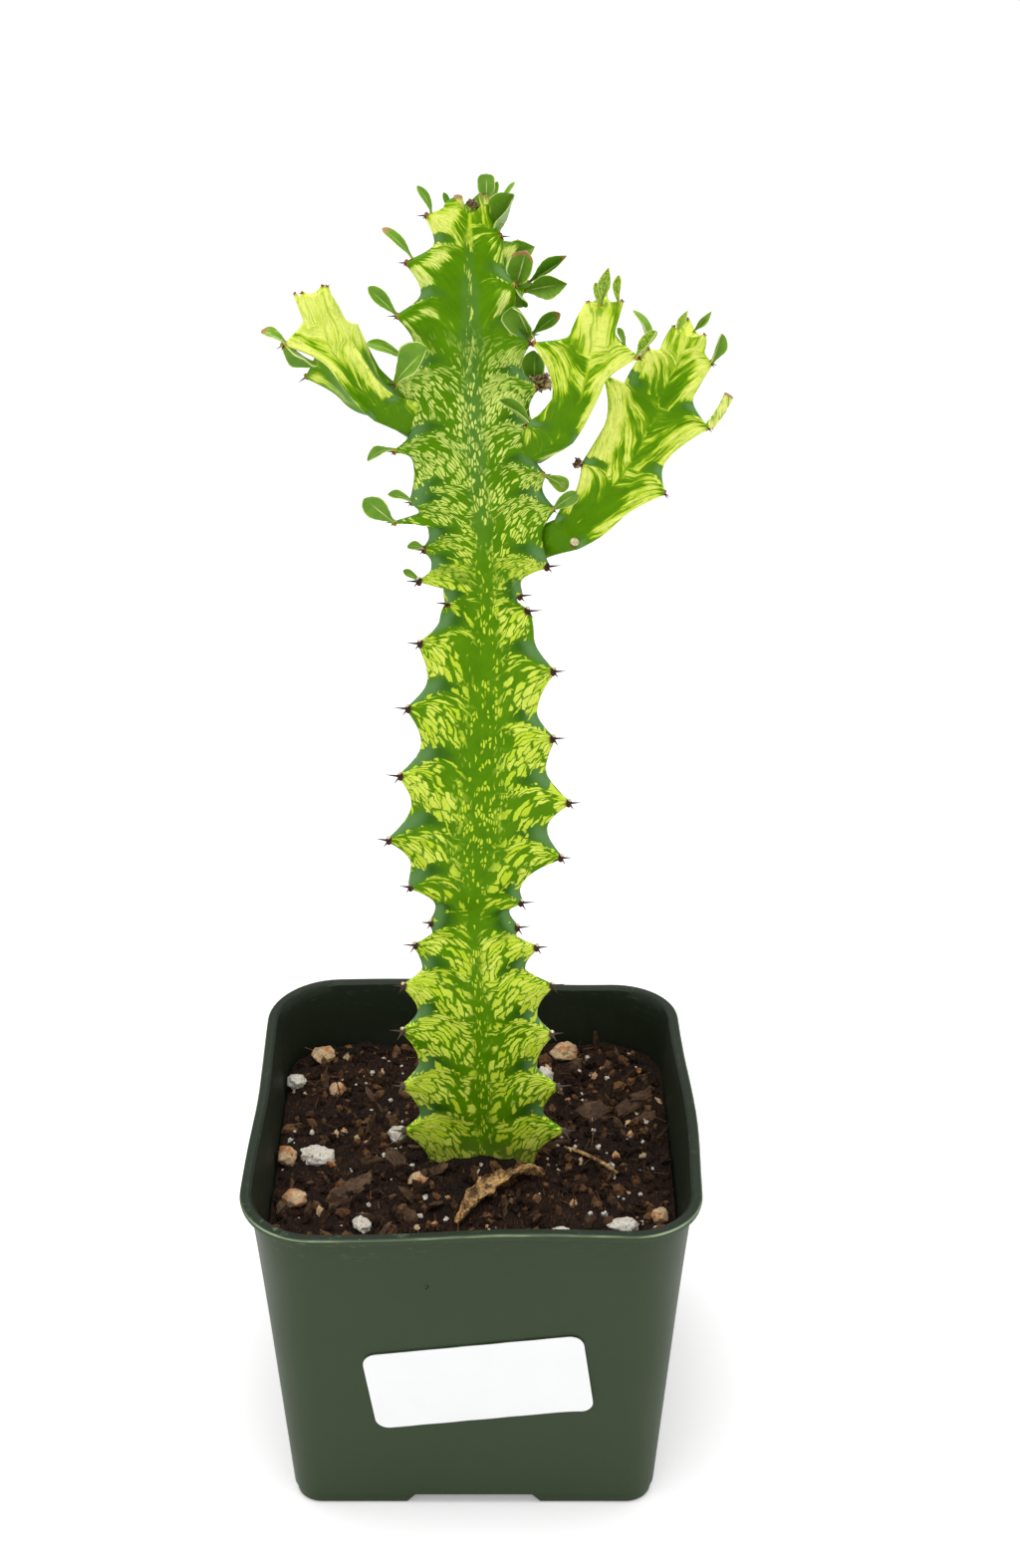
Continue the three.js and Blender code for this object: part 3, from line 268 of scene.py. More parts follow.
INNER_LEAVES = {
    "leaf_inner_low": (0, 0, (-7, -3, 7.6), 3.8, (0.4, -0.5, 0.8), {"fold": 0.8}),
    "leaf_inner_tip": (
        0, 2, (1.6, 0, 8.8), 3.8, (-0.3, -1, 0),
        {"fold": 0.6, "at": (33.4, -15.6, 359), "sharp": 1, "light": 1},
    ),
    "leaf_inner_tip_small": (
        1, 2, (-0.5, 0, 6.8), 2.6, (-0.6, -1, 0.3),
        {"fold": 0.8, "at": (37.7, -15.4, 358.8), "light": 1},
    ),
    "leaf_inner_right_tall": (
        1, 1, (-1.6, 3, 10.4), 3.6, (0.8, -0.7, 0.1), {"arch": 0.3, "near": (43, -15.4, 345.6)},
    ),
    "leaf_inner_right_fork": (
        1, 1, (4.8, -2, 7.2), 3.6, (-0.6, -0.8, 0.2),
        {"fold": 0.8, "at": (42.2, -17.6, 345.8), "light": 1},
    ),
}
INNER_BUDS = [
    (
        0, 2, (-0.6, 0, 5.2), 2.7, (0.3, -1, 0.2),
        {"at": (32.3, -16.6, 359), "fold": 0.6, "light": 1},
    ),
    (1, 1, (-2.4, 0, 3.8), 2.2, (0.5, -1, 0), {"near": (40, -7, 346)}),
]
OUTER_LEAVES = {
    "leaf_outer_round": (1, 3, (2.8, 0, 7.4), 4.2, (0.5, -1, 0), {"fold": 0.5}),
    "leaf_outer_tip": (
        1, 4, (3.9, 0, 4.8), 2.6, FRONTWARD, {"fold": 0.7, "near": (57.2, -6, 349), "sharp": 1},
    ),
}
OUTER_BUDS = [
    (
        0, 4, (2.2, -0.5, 5.4), 2.6, (-0.4, -1, 0),
        {"at": (52.8, -7, 349), "fold": 0.7, "sharp": 1, "light": 1},
    ),
    (2, 4, (1.1, 0, 5.6), 2.2, (0.6, -1, 0), {"at": (51, 0, 342)}),
]

# How far along the camera's line of sight a leaf's foot may slide to sit on the skin
SIGHT_SLIDE = 14

# Stubs of cut and dried leaves: foot, top and the radius at each end
STUBS = {
    "leaf_outer_stub": ((61.3, -9, 324.6), (66, -9, 333), 1.15, 1.3),
    "crown_left": ((-1.4, 2.5, 369), (-1.9, -2.2, 381.4), 2.4, 1.1),
    "crown_right": ((4.2, 3, 366), (4.5, -2.8, 382.4), 2.4, 1.3),
    "crown_middle": ((1.4, 2, 369), (1.6, -1, 379.8), 2.4, 1.3),
}
DRIED_BUDS = {
    "dried_bud_crown": ((1.7, -1, 378.9), 2.0, "main_stem"),
    "dried_bud_right": ((18.8, 17.6, 327), 4.2, "main_stem"),
    "dried_bud_low": ((28, -9.5, 314.8), 1.8, "branch_right_outer"),
}
BRANCH_SCAR = (27.3, -11.9, 293.6)

# Heights between which teeth, pads and spines turn from old horn to fresh
FRESH = (285, 300)

# The camera, where the photograph was taken from
CAMERA_PLACE = (10.9, -586, 531.6)
CAMERA_PITCH = 28.23
CAMERA_LENS = 54.9
CAMERA_FILM = 36


# Meshes

def add_object(name, data):
    thing = bpy.data.objects.new(name, data)
    bpy.context.scene.collection.objects.link(thing)
    return thing


def new_mesh(name, points, faces):
    """A mesh from points in millimetres"""
    mesh = bpy.data.meshes.new(name)
    mesh.from_pydata((np.asarray(points, float) * MM).tolist(), [], faces)
    return mesh


def new_piece(name, points, faces, material):
    """A smooth mesh piece from points in millimetres"""
    mesh = new_mesh(name, points, faces)
    mesh.polygons.foreach_set("use_smooth", [True] * len(mesh.polygons))
    mesh.materials.append(material)
    return add_object(name, mesh)


def settle(piece):
    """The piece with its modifiers made part of its mesh"""
    depsgraph = bpy.context.evaluated_depsgraph_get()
    shaped = piece.evaluated_get(depsgraph)
    mesh = bpy.data.meshes.new_from_object(
        shaped, preserve_all_data_layers=True, depsgraph=depsgraph,
    )
    piece.modifiers.clear()
    piece.data = mesh
    return piece


def dress(piece, slot_name, *nodes):
    """The piece rides with the part and stands for the given nodes"""
    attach(piece, "root")
    if nodes:
        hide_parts(*nodes)
    return piece


def float_attribute(mesh, name, values):
    layer = mesh.attributes.new(name, "FLOAT", "POINT")
    layer.data.foreach_set("value", np.asarray(values, np.float32))


def vector_attribute(mesh, name, values):
    layer = mesh.attributes.new(name, "FLOAT_VECTOR", "POINT")
    layer.data.foreach_set("vector", np.asarray(values, np.float32).ravel())


def corner_map(mesh, name, values):
    """A UV map from one pair of values for each face corner"""
    layer = mesh.uv_layers.new(name=name)
    layer.data.foreach_set("uv", np.asarray(values, np.float32).ravel())


def corner_points(mesh):
    """The number of the point at each face corner"""
    points = np.empty(len(mesh.loops), np.int32)
    mesh.loops.foreach_get("vertex_index", points)
    return points


def ring_faces(rings, count, start, end):
    """Quads between rings of points laid one after the other, closed by a fan at both ends"""
    faces = []
    for row in range(rings - 1):
        for i in range(count):
            j = (i + 1) % count
            low = row * count
            high = low + count
            faces.append((low + i, low + j, high + j, high + i))
    last = (rings - 1) * count
    for i in range(count):
        j = (i + 1) % count
        faces.append((start, j, i))
        faces.append((end, last + i, last + j))
    return faces


def sheet_faces(long_steps, wide_steps):
    """Faces of a closed sheet, whose points are the grid of one side and then the other's"""
    span = wide_steps + 1
    total = (long_steps + 1) * span
    faces = []
    for i in range(long_steps):
        for j in range(wide_steps):
            a = i * span + j
            faces.append((a, a + 1, a + span + 1, a + span))
            faces.append((total + a, total + a + span, total + a + span + 1, total + a + 1))
    rim = list(range(span)) + [i * span + wide_steps for i in range(1, long_steps + 1)]
    rim += [long_steps * span + j for j in range(wide_steps - 1, -1, -1)]
    rim += [i * span for i in range(long_steps - 1, 0, -1)]
    for a, b in zip(rim, rim[1:] + rim[:1]):
        faces.append((b, a, total + a, total + b))
    return faces


def unit(vectors):
    vectors = np.asarray(vectors, float)
    return vectors / np.maximum(np.linalg.norm(vectors, axis=-1, keepdims=True), 1e-9)


def smooth_step(low, high, value):
    share = np.clip((np.asarray(value, float) - low) / (high - low), 0, 1)
    return share * share * (3 - 2 * share)


def table_at(table, place):
    """The value of a table of (place, value) between its rows"""
    places, values = zip(*table)
    return np.interp(place, places, values)


def eased_table_at(table, place):
    places, values = (np.array(column, float) for column in zip(*table))
    i = np.clip(np.searchsorted(places, place) - 1, 0, len(places) - 2)
    share = smooth_step(0, 1, (place - places[i]) / (places[i + 1] - places[i]))
    return values[i] + (values[i + 1] - values[i]) * share


def lumps(points, scale, seed, detail=3):
    """Smooth random heights between about -1 and 1 at each point"""
    shift = Vector((seed * 7.1, seed * 3.3, seed * 5.7))
    basis = "PERLIN_ORIGINAL"
    return np.array([
        noise.fractal(Vector(p) / scale + shift, 1.0, 2.0, detail, noise_basis=basis)
        for p in points
    ])


# Pot

def bend(points):
    """The thin wall bows a little out of true towards the rim"""
    points = np.asarray(points, float)
    share = np.clip((points[:, 2] - BOW_FROM) / (POT_HEIGHT - BOW_FROM), 0, None) ** 2
    angle = np.arctan2(points[:, 1], points[:, 0])
    bearing = np.degrees(angle)
    bow = share * eased_table_at(RIM_BOW, np.where(bearing < -90, bearing + 360, bearing))
    wave = share * RIM_WAVE * np.sin(RIM_WAVES * (angle + math.radians(RIM_WAVE_FROM)))
    return points + np.stack([bow * np.cos(angle), bow * np.sin(angle), wave], axis=1)


CORNER_STEPS = 14
SIDE_STEPS = 16


def square_ring(half, corner, z):
    points = []
    for side in range(4):
        turn = Matrix.Rotation(side * math.pi / 2, 3, "Z")
        for i in range(CORNER_STEPS + 1):
            angle = i / CORNER_STEPS * math.pi / 2
            reach = half - corner
            place = (reach + corner * math.cos(angle), reach + corner * math.sin(angle), z)
            points.append(turn @ Vector(place))
        for i in range(1, SIDE_STEPS):
            along = (half - corner) * (1 - 2 * i / SIDE_STEPS)
            points.append(turn @ Vector((along, half, z)))
    return bend([tuple(p) for p in points])


def wall_half(z):
    return BASE_HALF + (BODY_TOP_HALF - BASE_HALF) * z / (POT_HEIGHT - LIP_HEIGHT)


def wall_corner(z):
    return BASE_CORNER + (RIM_CORNER - BASE_CORNER) * z / POT_HEIGHT


def pot_profile():
    """Half width, corner and height of each ring: up the outside, over the lip and down inside"""
    lip_base = POT_HEIGHT - LIP_HEIGHT
    foot = BASE_HALF - FOOT_INSET
    rows = [(foot - inset, BASE_CORNER - inset, z) for inset, z in FOOT_ROUND]
    rows += [(foot + 0.1, BASE_CORNER, FOOT_HEIGHT - 0.6)]
    rows += [(wall_half(z), wall_corner(z), z) for z in np.linspace(FOOT_HEIGHT, lip_base - 1, 22)]
    rows += [(wall_half(lip_base), RIM_CORNER - 0.2, lip_base - 0.2)]
    rows += [(RIM_HALF - LIP_ROUND, RIM_CORNER, lip_base + 0.2)]
    rows += [(RIM_HALF - 0.2, RIM_CORNER, lip_base + LIP_ROUND)]
    for step in range(5):
        angle = step / 4 * math.pi / 2
        inset = LIP_ROUND * (1 - math.cos(angle))
        height = POT_HEIGHT - LIP_ROUND * (1 - math.sin(angle))
        rows.append((RIM_HALF - inset, RIM_CORNER - inset, height))
    inside = BODY_TOP_HALF - WALL
    rows += [(inside + out, RIM_CORNER - inset, POT_HEIGHT - drop) for out, inset, drop in LIP_INSIDE]
    for z in np.linspace(lip_base, FLOOR + 1, 14):
        rows.append((wall_half(z) - WALL, wall_corner(z) - WALL, z))
    rows += [(wall_half(FLOOR) - WALL - 1, wall_corner(FLOOR) - WALL, FLOOR)]
    return rows


def channel_cutter(low, high, slope):
    """A bar along Y whose sides lean in towards its top by the slope"""
    (x0, y0, z0), (x1, y1, z1) = low, high
    points = [
        (x0 - slope, y0, z0), (x1 + slope, y0, z0), (x1 + slope, y1, z0), (x0 - slope, y1, z0),
        (x0, y0, z1), (x1, y0, z1), (x1, y1, z1), (x0, y1, z1),
    ]
    faces = [(3, 2, 1, 0), (4, 5, 6, 7), (0, 1, 5, 4), (1, 2, 6, 5), (2, 3, 7, 6), (3, 0, 4, 7)]
    return points, faces


def cutter_object(solids):
    """One object from several simple solids, each given as points and faces"""
    points, faces = [], []
    for solid_points, solid_faces in solids:
        start = len(points)
        points += [tuple(p) for p in solid_points]
        faces += [tuple(start + i for i in face) for face in solid_faces]
    return add_object("cutter", new_mesh("cutter", points, faces))


def cut(piece, solids):
    """The piece with simple solids cut out of it"""
    cutter = cutter_object(solids)
    modifier = piece.modifiers.new("cut", "BOOLEAN")
    modifier.operation = "DIFFERENCE"
    modifier.solver = "EXACT"
    modifier.object = cutter
    settle(piece)
    bpy.data.objects.remove(cutter)


def drain_cutter(x, y):
    points, sides = [], DRAIN_SIDES
    for z in (-2, FLOOR + 3):
        for i in range(sides):
            angle = 2 * math.pi * i / sides
            reach_x, reach_y = DRAIN_RADIUS * math.cos(angle), DRAIN_RADIUS * math.sin(angle)
            points.append((x + reach_x, y + reach_y, z))
    faces = [tuple(range(sides - 1, -1, -1)), tuple(range(sides, 2 * sides))]
    faces += [(i, (i + 1) % sides, sides + (i + 1) % sides, sides + i) for i in range(sides)]
    return points, faces


def make_pot(material):
    rows = pot_profile()
    rings = [square_ring(*row) for row in rows]
    points = np.concatenate(rings + [np.array([[0, 0, 0], [0, 0, FLOOR]])])
    count = len(rings[0])
    faces = ring_faces(len(rings), count, len(points) - 2, len(points) - 1)
    pot = new_piece("nursery_pot", points, faces, material)
    reach = RIM_HALF + 5
    low, high = (-CHANNEL_HALF, -reach, -1), (CHANNEL_HALF, reach, FOOT_HEIGHT)
    bar, sides = channel_cutter(low, high, CHANNEL_SLOPE)
    cut(pot, [(bar, sides)])
    cut(pot, [([(y, -x, z) for x, y, z in bar], sides)])
    holes = [(0, 0), (1, 0), (-1, 0), (0, 1), (0, -1)]
    cut(pot, [drain_cutter(x * DRAIN_OFFSET, y * DRAIN_OFFSET) for x, y in holes])
    mark_sharp_edges(pot, 34)
    return dress(pot, "pot_plastic", "pot")


def mark_sharp_edges(piece, angle):
    """Smooth shading that breaks at edges sharper than the angle, in degrees"""
    mesh = bmesh.new()
    mesh.from_mesh(piece.data)
    for edge in mesh.edges:
        if len(edge.link_faces) == 2:
            edge.smooth = edge.calc_face_angle(0) < math.radians(angle)
    for face in mesh.faces:
        face.smooth = True
    mesh.to_mesh(piece.data)
    mesh.free()


def make_label(material):
    """A thin sheet with round corners stuck to the leaning wall, one corner a little loose"""
    width, height = LABEL_SIZE
    columns, rows = LABEL_STEPS
    spread = -np.cos(np.linspace(0, math.pi, columns + 1)) * width / 2
    into_corner = np.clip(np.abs(spread) - (width / 2 - LABEL_CORNER), 0, LABEL_CORNER)
    half_height = height / 2 - LABEL_CORNER + np.sqrt(LABEL_CORNER**2 - into_corner**2)
    turn = math.radians(LABEL_TILT)
    lean = math.atan2(BODY_TOP_HALF - BASE_HALF, POT_HEIGHT - LIP_HEIGHT)
    centre_x, centre_z = LABEL_CENTRE
    sheets = []
    for lift in LABEL_SIDES:
        for x, half in zip(spread, half_height):
            for row in range(rows + 1):
                y = half * (2 * row / rows - 1)
                loose = LABEL_LOOSE * smooth_step(30, 44, x + 0.35 * (height / 2 - y)) ** 2
                u = x * math.cos(turn) - y * math.sin(turn)
                v = x * math.sin(turn) + y * math.cos(turn)
                out = lift + loose + 0.05 * math.sin(u * 0.5) * math.cos(v * 0.4)
                z = centre_z + v * math.cos(lean) - out * math.sin(lean)
                depth = -wall_half(centre_z) - v * math.sin(lean) - out * math.cos(lean)
                sheets.append((centre_x + u, depth, z))
    label = new_piece("blank_label", sheets, sheet_faces(columns, rows), material)
    mark_sharp_edges(label, 40)
    return dress(label, "label_paper", "label")


# Stems. A stem has an axis and ribs with the same rows: even rows are notches and odd rows teeth.

RISE_POWER = 1.7
FALL_POWER = 2.0
LONG_POWER = 4.5
RISE_STEPS = 9
FALL_STEPS = 8
FACE_STEPS = 26
CAP_ANGLES = (-60, -30, 0, 30, 60)
MAIN_PALE = [
    (95, 0.86), (112, 0.94), (165, 0.9), (182, 0.62), (215, 0.6), (262, 0.6), (280, 0.64),
    (295, 0.62), (335, 0.62), (352, 0.6), (376, 0.95),
]
MAIN_MIDDLE = [
    (95, 0.14), (165, 0.14), (200, 0.38), (270, 0.36), (290, 0.18), (340, 0.2), (355, 0.24),
    (380, 0.1),
]
MAIN_BAND = [(95, 5.5), (285, 5), (312, 3)]
MAIN_GREY = [(285, 0), (300, 0.6), (320, 1), (360, 0.9), (375, 0)]
SAG_ROWS = 3
VALLEY_MIX = 0.5
VALLEY_LEAST = 0.6
CAP_FLAT = 0.8
CAP_THINNER = 0.3
RING_CROWDING = 1.5
TOP_SHARES = (0.25, 0.5, 0.72, 0.9)
TOP_DIP = 0.35
SKIN_ROUGH = 0.22
SKIN_OVER_CORE = 0.06


def main_stem():
    axis, left, right, back = [], [], [], []
    for row, ((left_x, left_z), (right_x, right_z)) in enumerate(zip(LEFT_RIB, RIGHT_RIB)):
        taper = min(1, (TIP_Z - left_z) / BACK_TAPER)
        back_z = (left_z + right_z) / 2 + (BACK_STAGGER * taper if row else 0)
        z = (left_z + right_z + back_z) / 3
        x = table_at(AXIS_X, z)
        reach = (right_x - left_x) / 2 / math.cos(FRONT_TURN)
        if row % 2 and BACK_LONG[0] <= row <= BACK_LONG[1]:
            reach *= BACK_LONG[2]
        turn = math.radians(table_at(BACK_TURN, z))
        axis.append((x, 0, z))
        left.append((left_x, -(x - left_x) * math.tan(FRONT_TURN), left_z))
        right.append((right_x, -(right_x - x) * math.tan(FRONT_TURN), right_z))
        back.append((x + reach * math.cos(turn), reach * math.sin(turn), back_z))
    return {
        "name": "main_stem", "axis": np.array(axis, float), "core": 6.5, "edge": 0.95, "sag": 3.2,
        "ribs": [np.array(rib, float) for rib in (left, right, back)], "apex": APEX,
        "bare": [(21,), (21,), (21,)], "long": [LONG_TEETH, (), ()], "relief": 0.8,
        "young": (364, 377), "soft": (334, 352), "edge_share": 0.56,
        "soft_share": [(300, 0.3), (350, 0.06), (372, 0.2)], "pitch": 15, "pale": MAIN_PALE,
        "middle": MAIN_MIDDLE, "band": MAIN_BAND, "grey": MAIN_GREY,
    }


def side_branch(name, table, young, shares, edge):
    """A branch's stem table: shares says how pale it is at its foot, above the foot and at its top"""
    ribs = [np.array(rib, float) for rib in table["ribs"]]
    low = table["axis"][0][2]
    return {
        "name": name, "axis": np.array(table["axis"], float), "core": table["core"],
        "edge": table["edge"], "sag": 1.4, "ribs": ribs, "apex": table["apex"],
        "bare": table["bare"], "long": [()] * len(ribs), "relief": 0.45, "young": young,
        "soft": (0, 1), "edge_share": edge, "pitch": 12, "pale": [(0, 0.5)],
        "soft_share": list(zip((low + 4, low + 16, low + 40), shares)), "middle": [(0, 0.05)],
        "band": [(0, 2.4)], "grey": [(0, 0)],
    }


def row_directions(axis):
    ahead = np.vstack([axis[1:], axis[-1:]])
    behind = np.vstack([axis[:1], axis[:-1]])
    return unit(ahead - behind)


def stem_places(stem):
    """The places up a stem where a ring is laid, close together near the teeth"""
    places = []
    for row in range(len(stem["axis"]) - 1):
        if row % 2 == 0:
            shares = 1 - (1 - np.linspace(0, 1, RISE_STEPS, endpoint=False)) ** RING_CROWDING
        else:
            shares = np.linspace(0, 1, FALL_STEPS, endpoint=False) ** RING_CROWDING
        places += [(row, share) for share in shares]
    places.append((len(stem["axis"]) - 2, 1.0))
    return places


def rib_offsets(stem, row, share, directions):
    """Each rib's way out from the axis, its rise along it and its notches' way out, at a place"""
    rising = row % 2 == 0
    tooth = row // 2
    along = unit(directions[row] * (1 - share) + directions[row + 1] * share)
    low_notch = row - row % 2
    high_notch = min(low_notch + 2, len(stem["axis"]) - 2)
    notch_share = (row % 2 + share) / 2
    offsets = []
    for rib, long_teeth in zip(stem["ribs"], stem["long"]):
        power = LONG_POWER if tooth in long_teeth else (RISE_POWER if rising else FALL_POWER)
        weight = share**power if rising else 1 - (1 - share) ** power
        a = rib[row] - stem["axis"][row]
        b = rib[row + 1] - stem["axis"][row + 1]
        a_rise, b_rise = a @ directions[row], b @ directions[row + 1]
        across = (a - a_rise * directions[row]) * (1 - weight)
        across = across + (b - b_rise * directions[row + 1]) * weight
        across = across - (across @ along) * along
        notch = (rib[low_notch] - stem["axis"][low_notch]) * (1 - notch_share)
        notch = notch + (rib[high_notch] - stem["axis"][high_notch]) * notch_share
        offsets.append((across, a_rise * (1 - share) + b_rise * share, notch))
    return along, offsets


def stem_ring(stem, row, share, directions):
    """One closed ring of a stem: a round cap on each rib and a hollow face to the next rib"""
    along, offsets = rib_offsets(stem, row, share, directions)
    centre = stem["axis"][row] * (1 - share) + stem["axis"][row + 1] * share
    near_tooth = share if row % 2 == 0 else 1 - share
    edge = stem["edge"] * (1 - CAP_THINNER * near_tooth**4)
    height = row + share
    points = []
    for i, (across, rise, notch) in enumerate(offsets):
        next_across, next_rise, next_notch = offsets[(i + 1) % len(offsets)]
        out = unit(across)
        sideways = np.cross(along, out)
        tip = centre + across + rise * along
        for angle in CAP_ANGLES:
            turn = math.radians(angle)
            cap = math.sin(turn) * sideways + CAP_FLAT * math.cos(turn) * out
            points.append(tip + edge * cap)
        next_out = unit(next_across)
        start = tip + edge * sideways
        end = centre + next_across + next_rise * along - edge * np.cross(along, next_out)
        quarter = np.cross(along, out)
        bisector = out + next_out
        if np.linalg.norm(bisector) < 0.05 or quarter @ next_out < 0:
            bisector = quarter
        bisector = unit(bisector)
        chord = max((notch + next_notch) @ bisector / 2, 0)
        deepest = max(chord, stem["core"] * VALLEY_LEAST)
        radius = min(stem["core"] * (1 - VALLEY_MIX) + chord * VALLEY_MIX, deepest)
        sag = stem["sag"] * min(1, height / SAG_ROWS)
        valley = centre + bisector * radius + along * ((rise + next_rise) / 2 - sag)
        control = 2 * valley - (start + end) / 2
        for step in range(FACE_STEPS + 1):
            t = step / FACE_STEPS
            points.append(start * (1 - t) ** 2 + control * 2 * t * (1 - t) + end * t**2)
    return points


CAPS = len(CAP_ANGLES)
RIM = CAPS // 2


def ring_places(ribs):
    """How near a rib each point of a ring is, from 0 in the middle of a face to 1 on a rib"""
    one = [1.0] * CAPS + [abs(2 * step / FACE_STEPS - 1) for step in range(FACE_STEPS + 1)]
    return np.array(one * ribs)


def ring_columns(ribs):
    """The face that each strip between two points of a ring lies on, and the half of it: 0 or 1"""
    faces, halves = [], []
    for rib in range(ribs):
        faces += [(rib - 1) % ribs] * RIM + [rib] * (CAPS + 1 + FACE_STEPS - RIM)
        halves += [1] * RIM + [0] * (CAPS - RIM + FACE_STEPS // 2)
        halves += [1] * (FACE_STEPS - FACE_STEPS // 2 + 1)
    return np.array(faces), np.array(halves)


def reaches_from_middle(grid, ribs):
    """How far each point lies from the middle of its face along the ring, for both halves"""
    count = grid.shape[1]
    per_rib = count // ribs
    reaches = np.zeros((2, len(grid), count))
    for rib in range(ribs):
        order = (rib * per_rib + RIM + np.arange(per_rib + 1)) % count
        steps = np.linalg.norm(np.diff(grid[:, order], axis=1), axis=2)
        run = np.concatenate([np.zeros((len(grid), 1)), np.cumsum(steps, axis=1)], axis=1)
        middle = CAPS - RIM + FACE_STEPS // 2
        run = np.abs(run - run[:, middle:middle + 1])
        reaches[0][:, order[:middle + 1]] = run[:, :middle + 1]
        reaches[1][:, order[middle:]] = run[:, middle:]
    return reaches


# The pale streaks start at a tooth's tip, rise a little along its upper edge and then bend down.
# Their shape follows the half face's width.
FAN_RISE = 0.5
FAN_BEND = 0.4
FAN_LEAN = 0.4
FAN_SPREAD = 1.0
LEAST_SPREAD = 17


class Fans:
    """Where points lie in the fans of streaks that hang from the teeth of one half face"""

    def __init__(self, tip_reaches, tip_heights):
        self.tip_reaches, self.tip_heights = tip_reaches, tip_heights
        self.width = float(np.mean(tip_reaches))

    def below(self, reach, height, tooth):
        """How far under the upper bound of a tooth's fan a point lies"""
        inward = self.tip_reaches[tooth] - reach
        share = np.clip(inward / (0.95 * self.width), -1, 1)
        return self.tip_heights[tooth] - height + FAN_RISE * inward * (1 - share**2)

    def owner(self, reach, height):
        """The lowest tooth whose fan reaches up to the point"""
        depths = np.stack([self.below(reach, height, k) for k in range(len(self.tip_heights))])
        under = depths >= 0
        return np.where(under.any(axis=0), under.argmax(axis=0), len(self.tip_heights) - 1)

    def streaks(self, reach, height, tooth):
        """A point's place across the streaks and along them"""
        inward = np.maximum(self.tip_reaches[tooth] - reach, 0)
        depth = np.maximum(self.below(reach, height, tooth), 0) + 0.7
        across = inward * (1 + FAN_BEND * self.width / depth) - FAN_LEAN * depth
        spread = max(FAN_SPREAD * self.width, LEAST_SPREAD)
        along = np.hypot(inward, self.tip_heights[tooth] - height)
        return spread * np.arctan(across / spread), along


def fans_of(stem, grid, heights, reaches, rows, face, half):
    """The fans of one half of a face, from the rings that pass through its rib's teeth"""
    ribs = len(stem["ribs"])
    rib = (face + half) % ribs
    point = rib * (grid.shape[1] // ribs) + RIM
    rings = [rows.index((row, 0.0)) for row in range(1, len(stem["axis"]) - 1, 2)]
    return Fans(reaches[half][rings, point], heights[rings, point])


def at_places(rows, places):
    """Values that are given row by row, at places between the rows"""
    return np.array([rows[r] * (1 - s) + rows[r + 1] * s for r, s in places])


# How far apart the patterns of two faces, of a face's halves and of two teeth are taken from
FACE_SHIFT, HALF_SHIFT, TOOTH_SHIFT = 137.0, 61.0, 23.0
PLAIN_SHIFT = 90.0


def streak_maps(mesh, fans, reaches, heights, rings):
    """Two maps of the skin: down the streaks of each fan, and plainly over each face"""
    faces, halves = ring_columns(len(fans) // 2)
    count, polygons = len(faces), len(mesh.polygons)
    corners = np.minimum(corner_points(mesh), rings * count - 1)
    totals = np.empty(polygons, np.int32)
    mesh.polygons.foreach_get("loop_total", totals)
    columns = np.arange(polygons) % count
    columns[(rings - 1) * count:] = np.arange(2 * count) // 2
    owner = np.repeat(np.arange(polygons), totals)
    faces, halves = faces[columns[owner]], halves[columns[owner]]
    reach, height = reaches[halves, corners], heights[corners]
    middle_reach, middle_height = (np.bincount(owner, part) / totals for part in (reach, height))
    streaks = np.zeros((len(corners), 2))
    for (face, half), fan in fans.items():
        here = (faces == face) & (halves == half)
        teeth = fan.owner(middle_reach, middle_height)[owner][here]
        across, along = fan.streaks(reach[here], height[here], teeth)
        shift = FACE_SHIFT * face + HALF_SHIFT * half + TOOTH_SHIFT * teeth
        streaks[here] = np.stack([across + shift, along], axis=1)
    corner_map(mesh, "streaks", streaks / 100)
    signed = reach * np.where(halves == 1, 1, -1) + PLAIN_SHIFT * faces
    corner_map(mesh, "face", np.stack([signed, height], axis=1) / 100)


def fan_masks(stem, fans, reaches, heights, level, near):
    """The dark band above each fan, and how deep in its fan each point lies"""
    columns = ring_columns(len(stem["ribs"]))
    faces, halves = (np.tile(side, len(level) // len(side)) for side in columns)
    band, depth = np.zeros(len(level)), np.zeros(len(level))
    for (face, half), fan in fans.items():
        on = (faces == face) & (halves == half)
        reach, height = reaches[half][on], heights[on]
        tooth = fan.owner(reach, height)
        above = -fan.below(reach, height, np.maximum(tooth - 1, 0))
        above = np.where(tooth > 0, above, 99)
        by_rib = smooth_step(0.3, 0.8, near[on])
        broad = table_at(stem["band"], level[on]) * (0.45 + 0.55 * by_rib)
        fading = 1 - smooth_step(broad * 0.6, broad * 1.2, above)
        band[on] = smooth_step(-0.2, 0.9, above) * fading * by_rib
        depth[on] = np.clip(fan.below(reach, height, tooth) / stem["pitch"], 0, 2)
    return band, depth


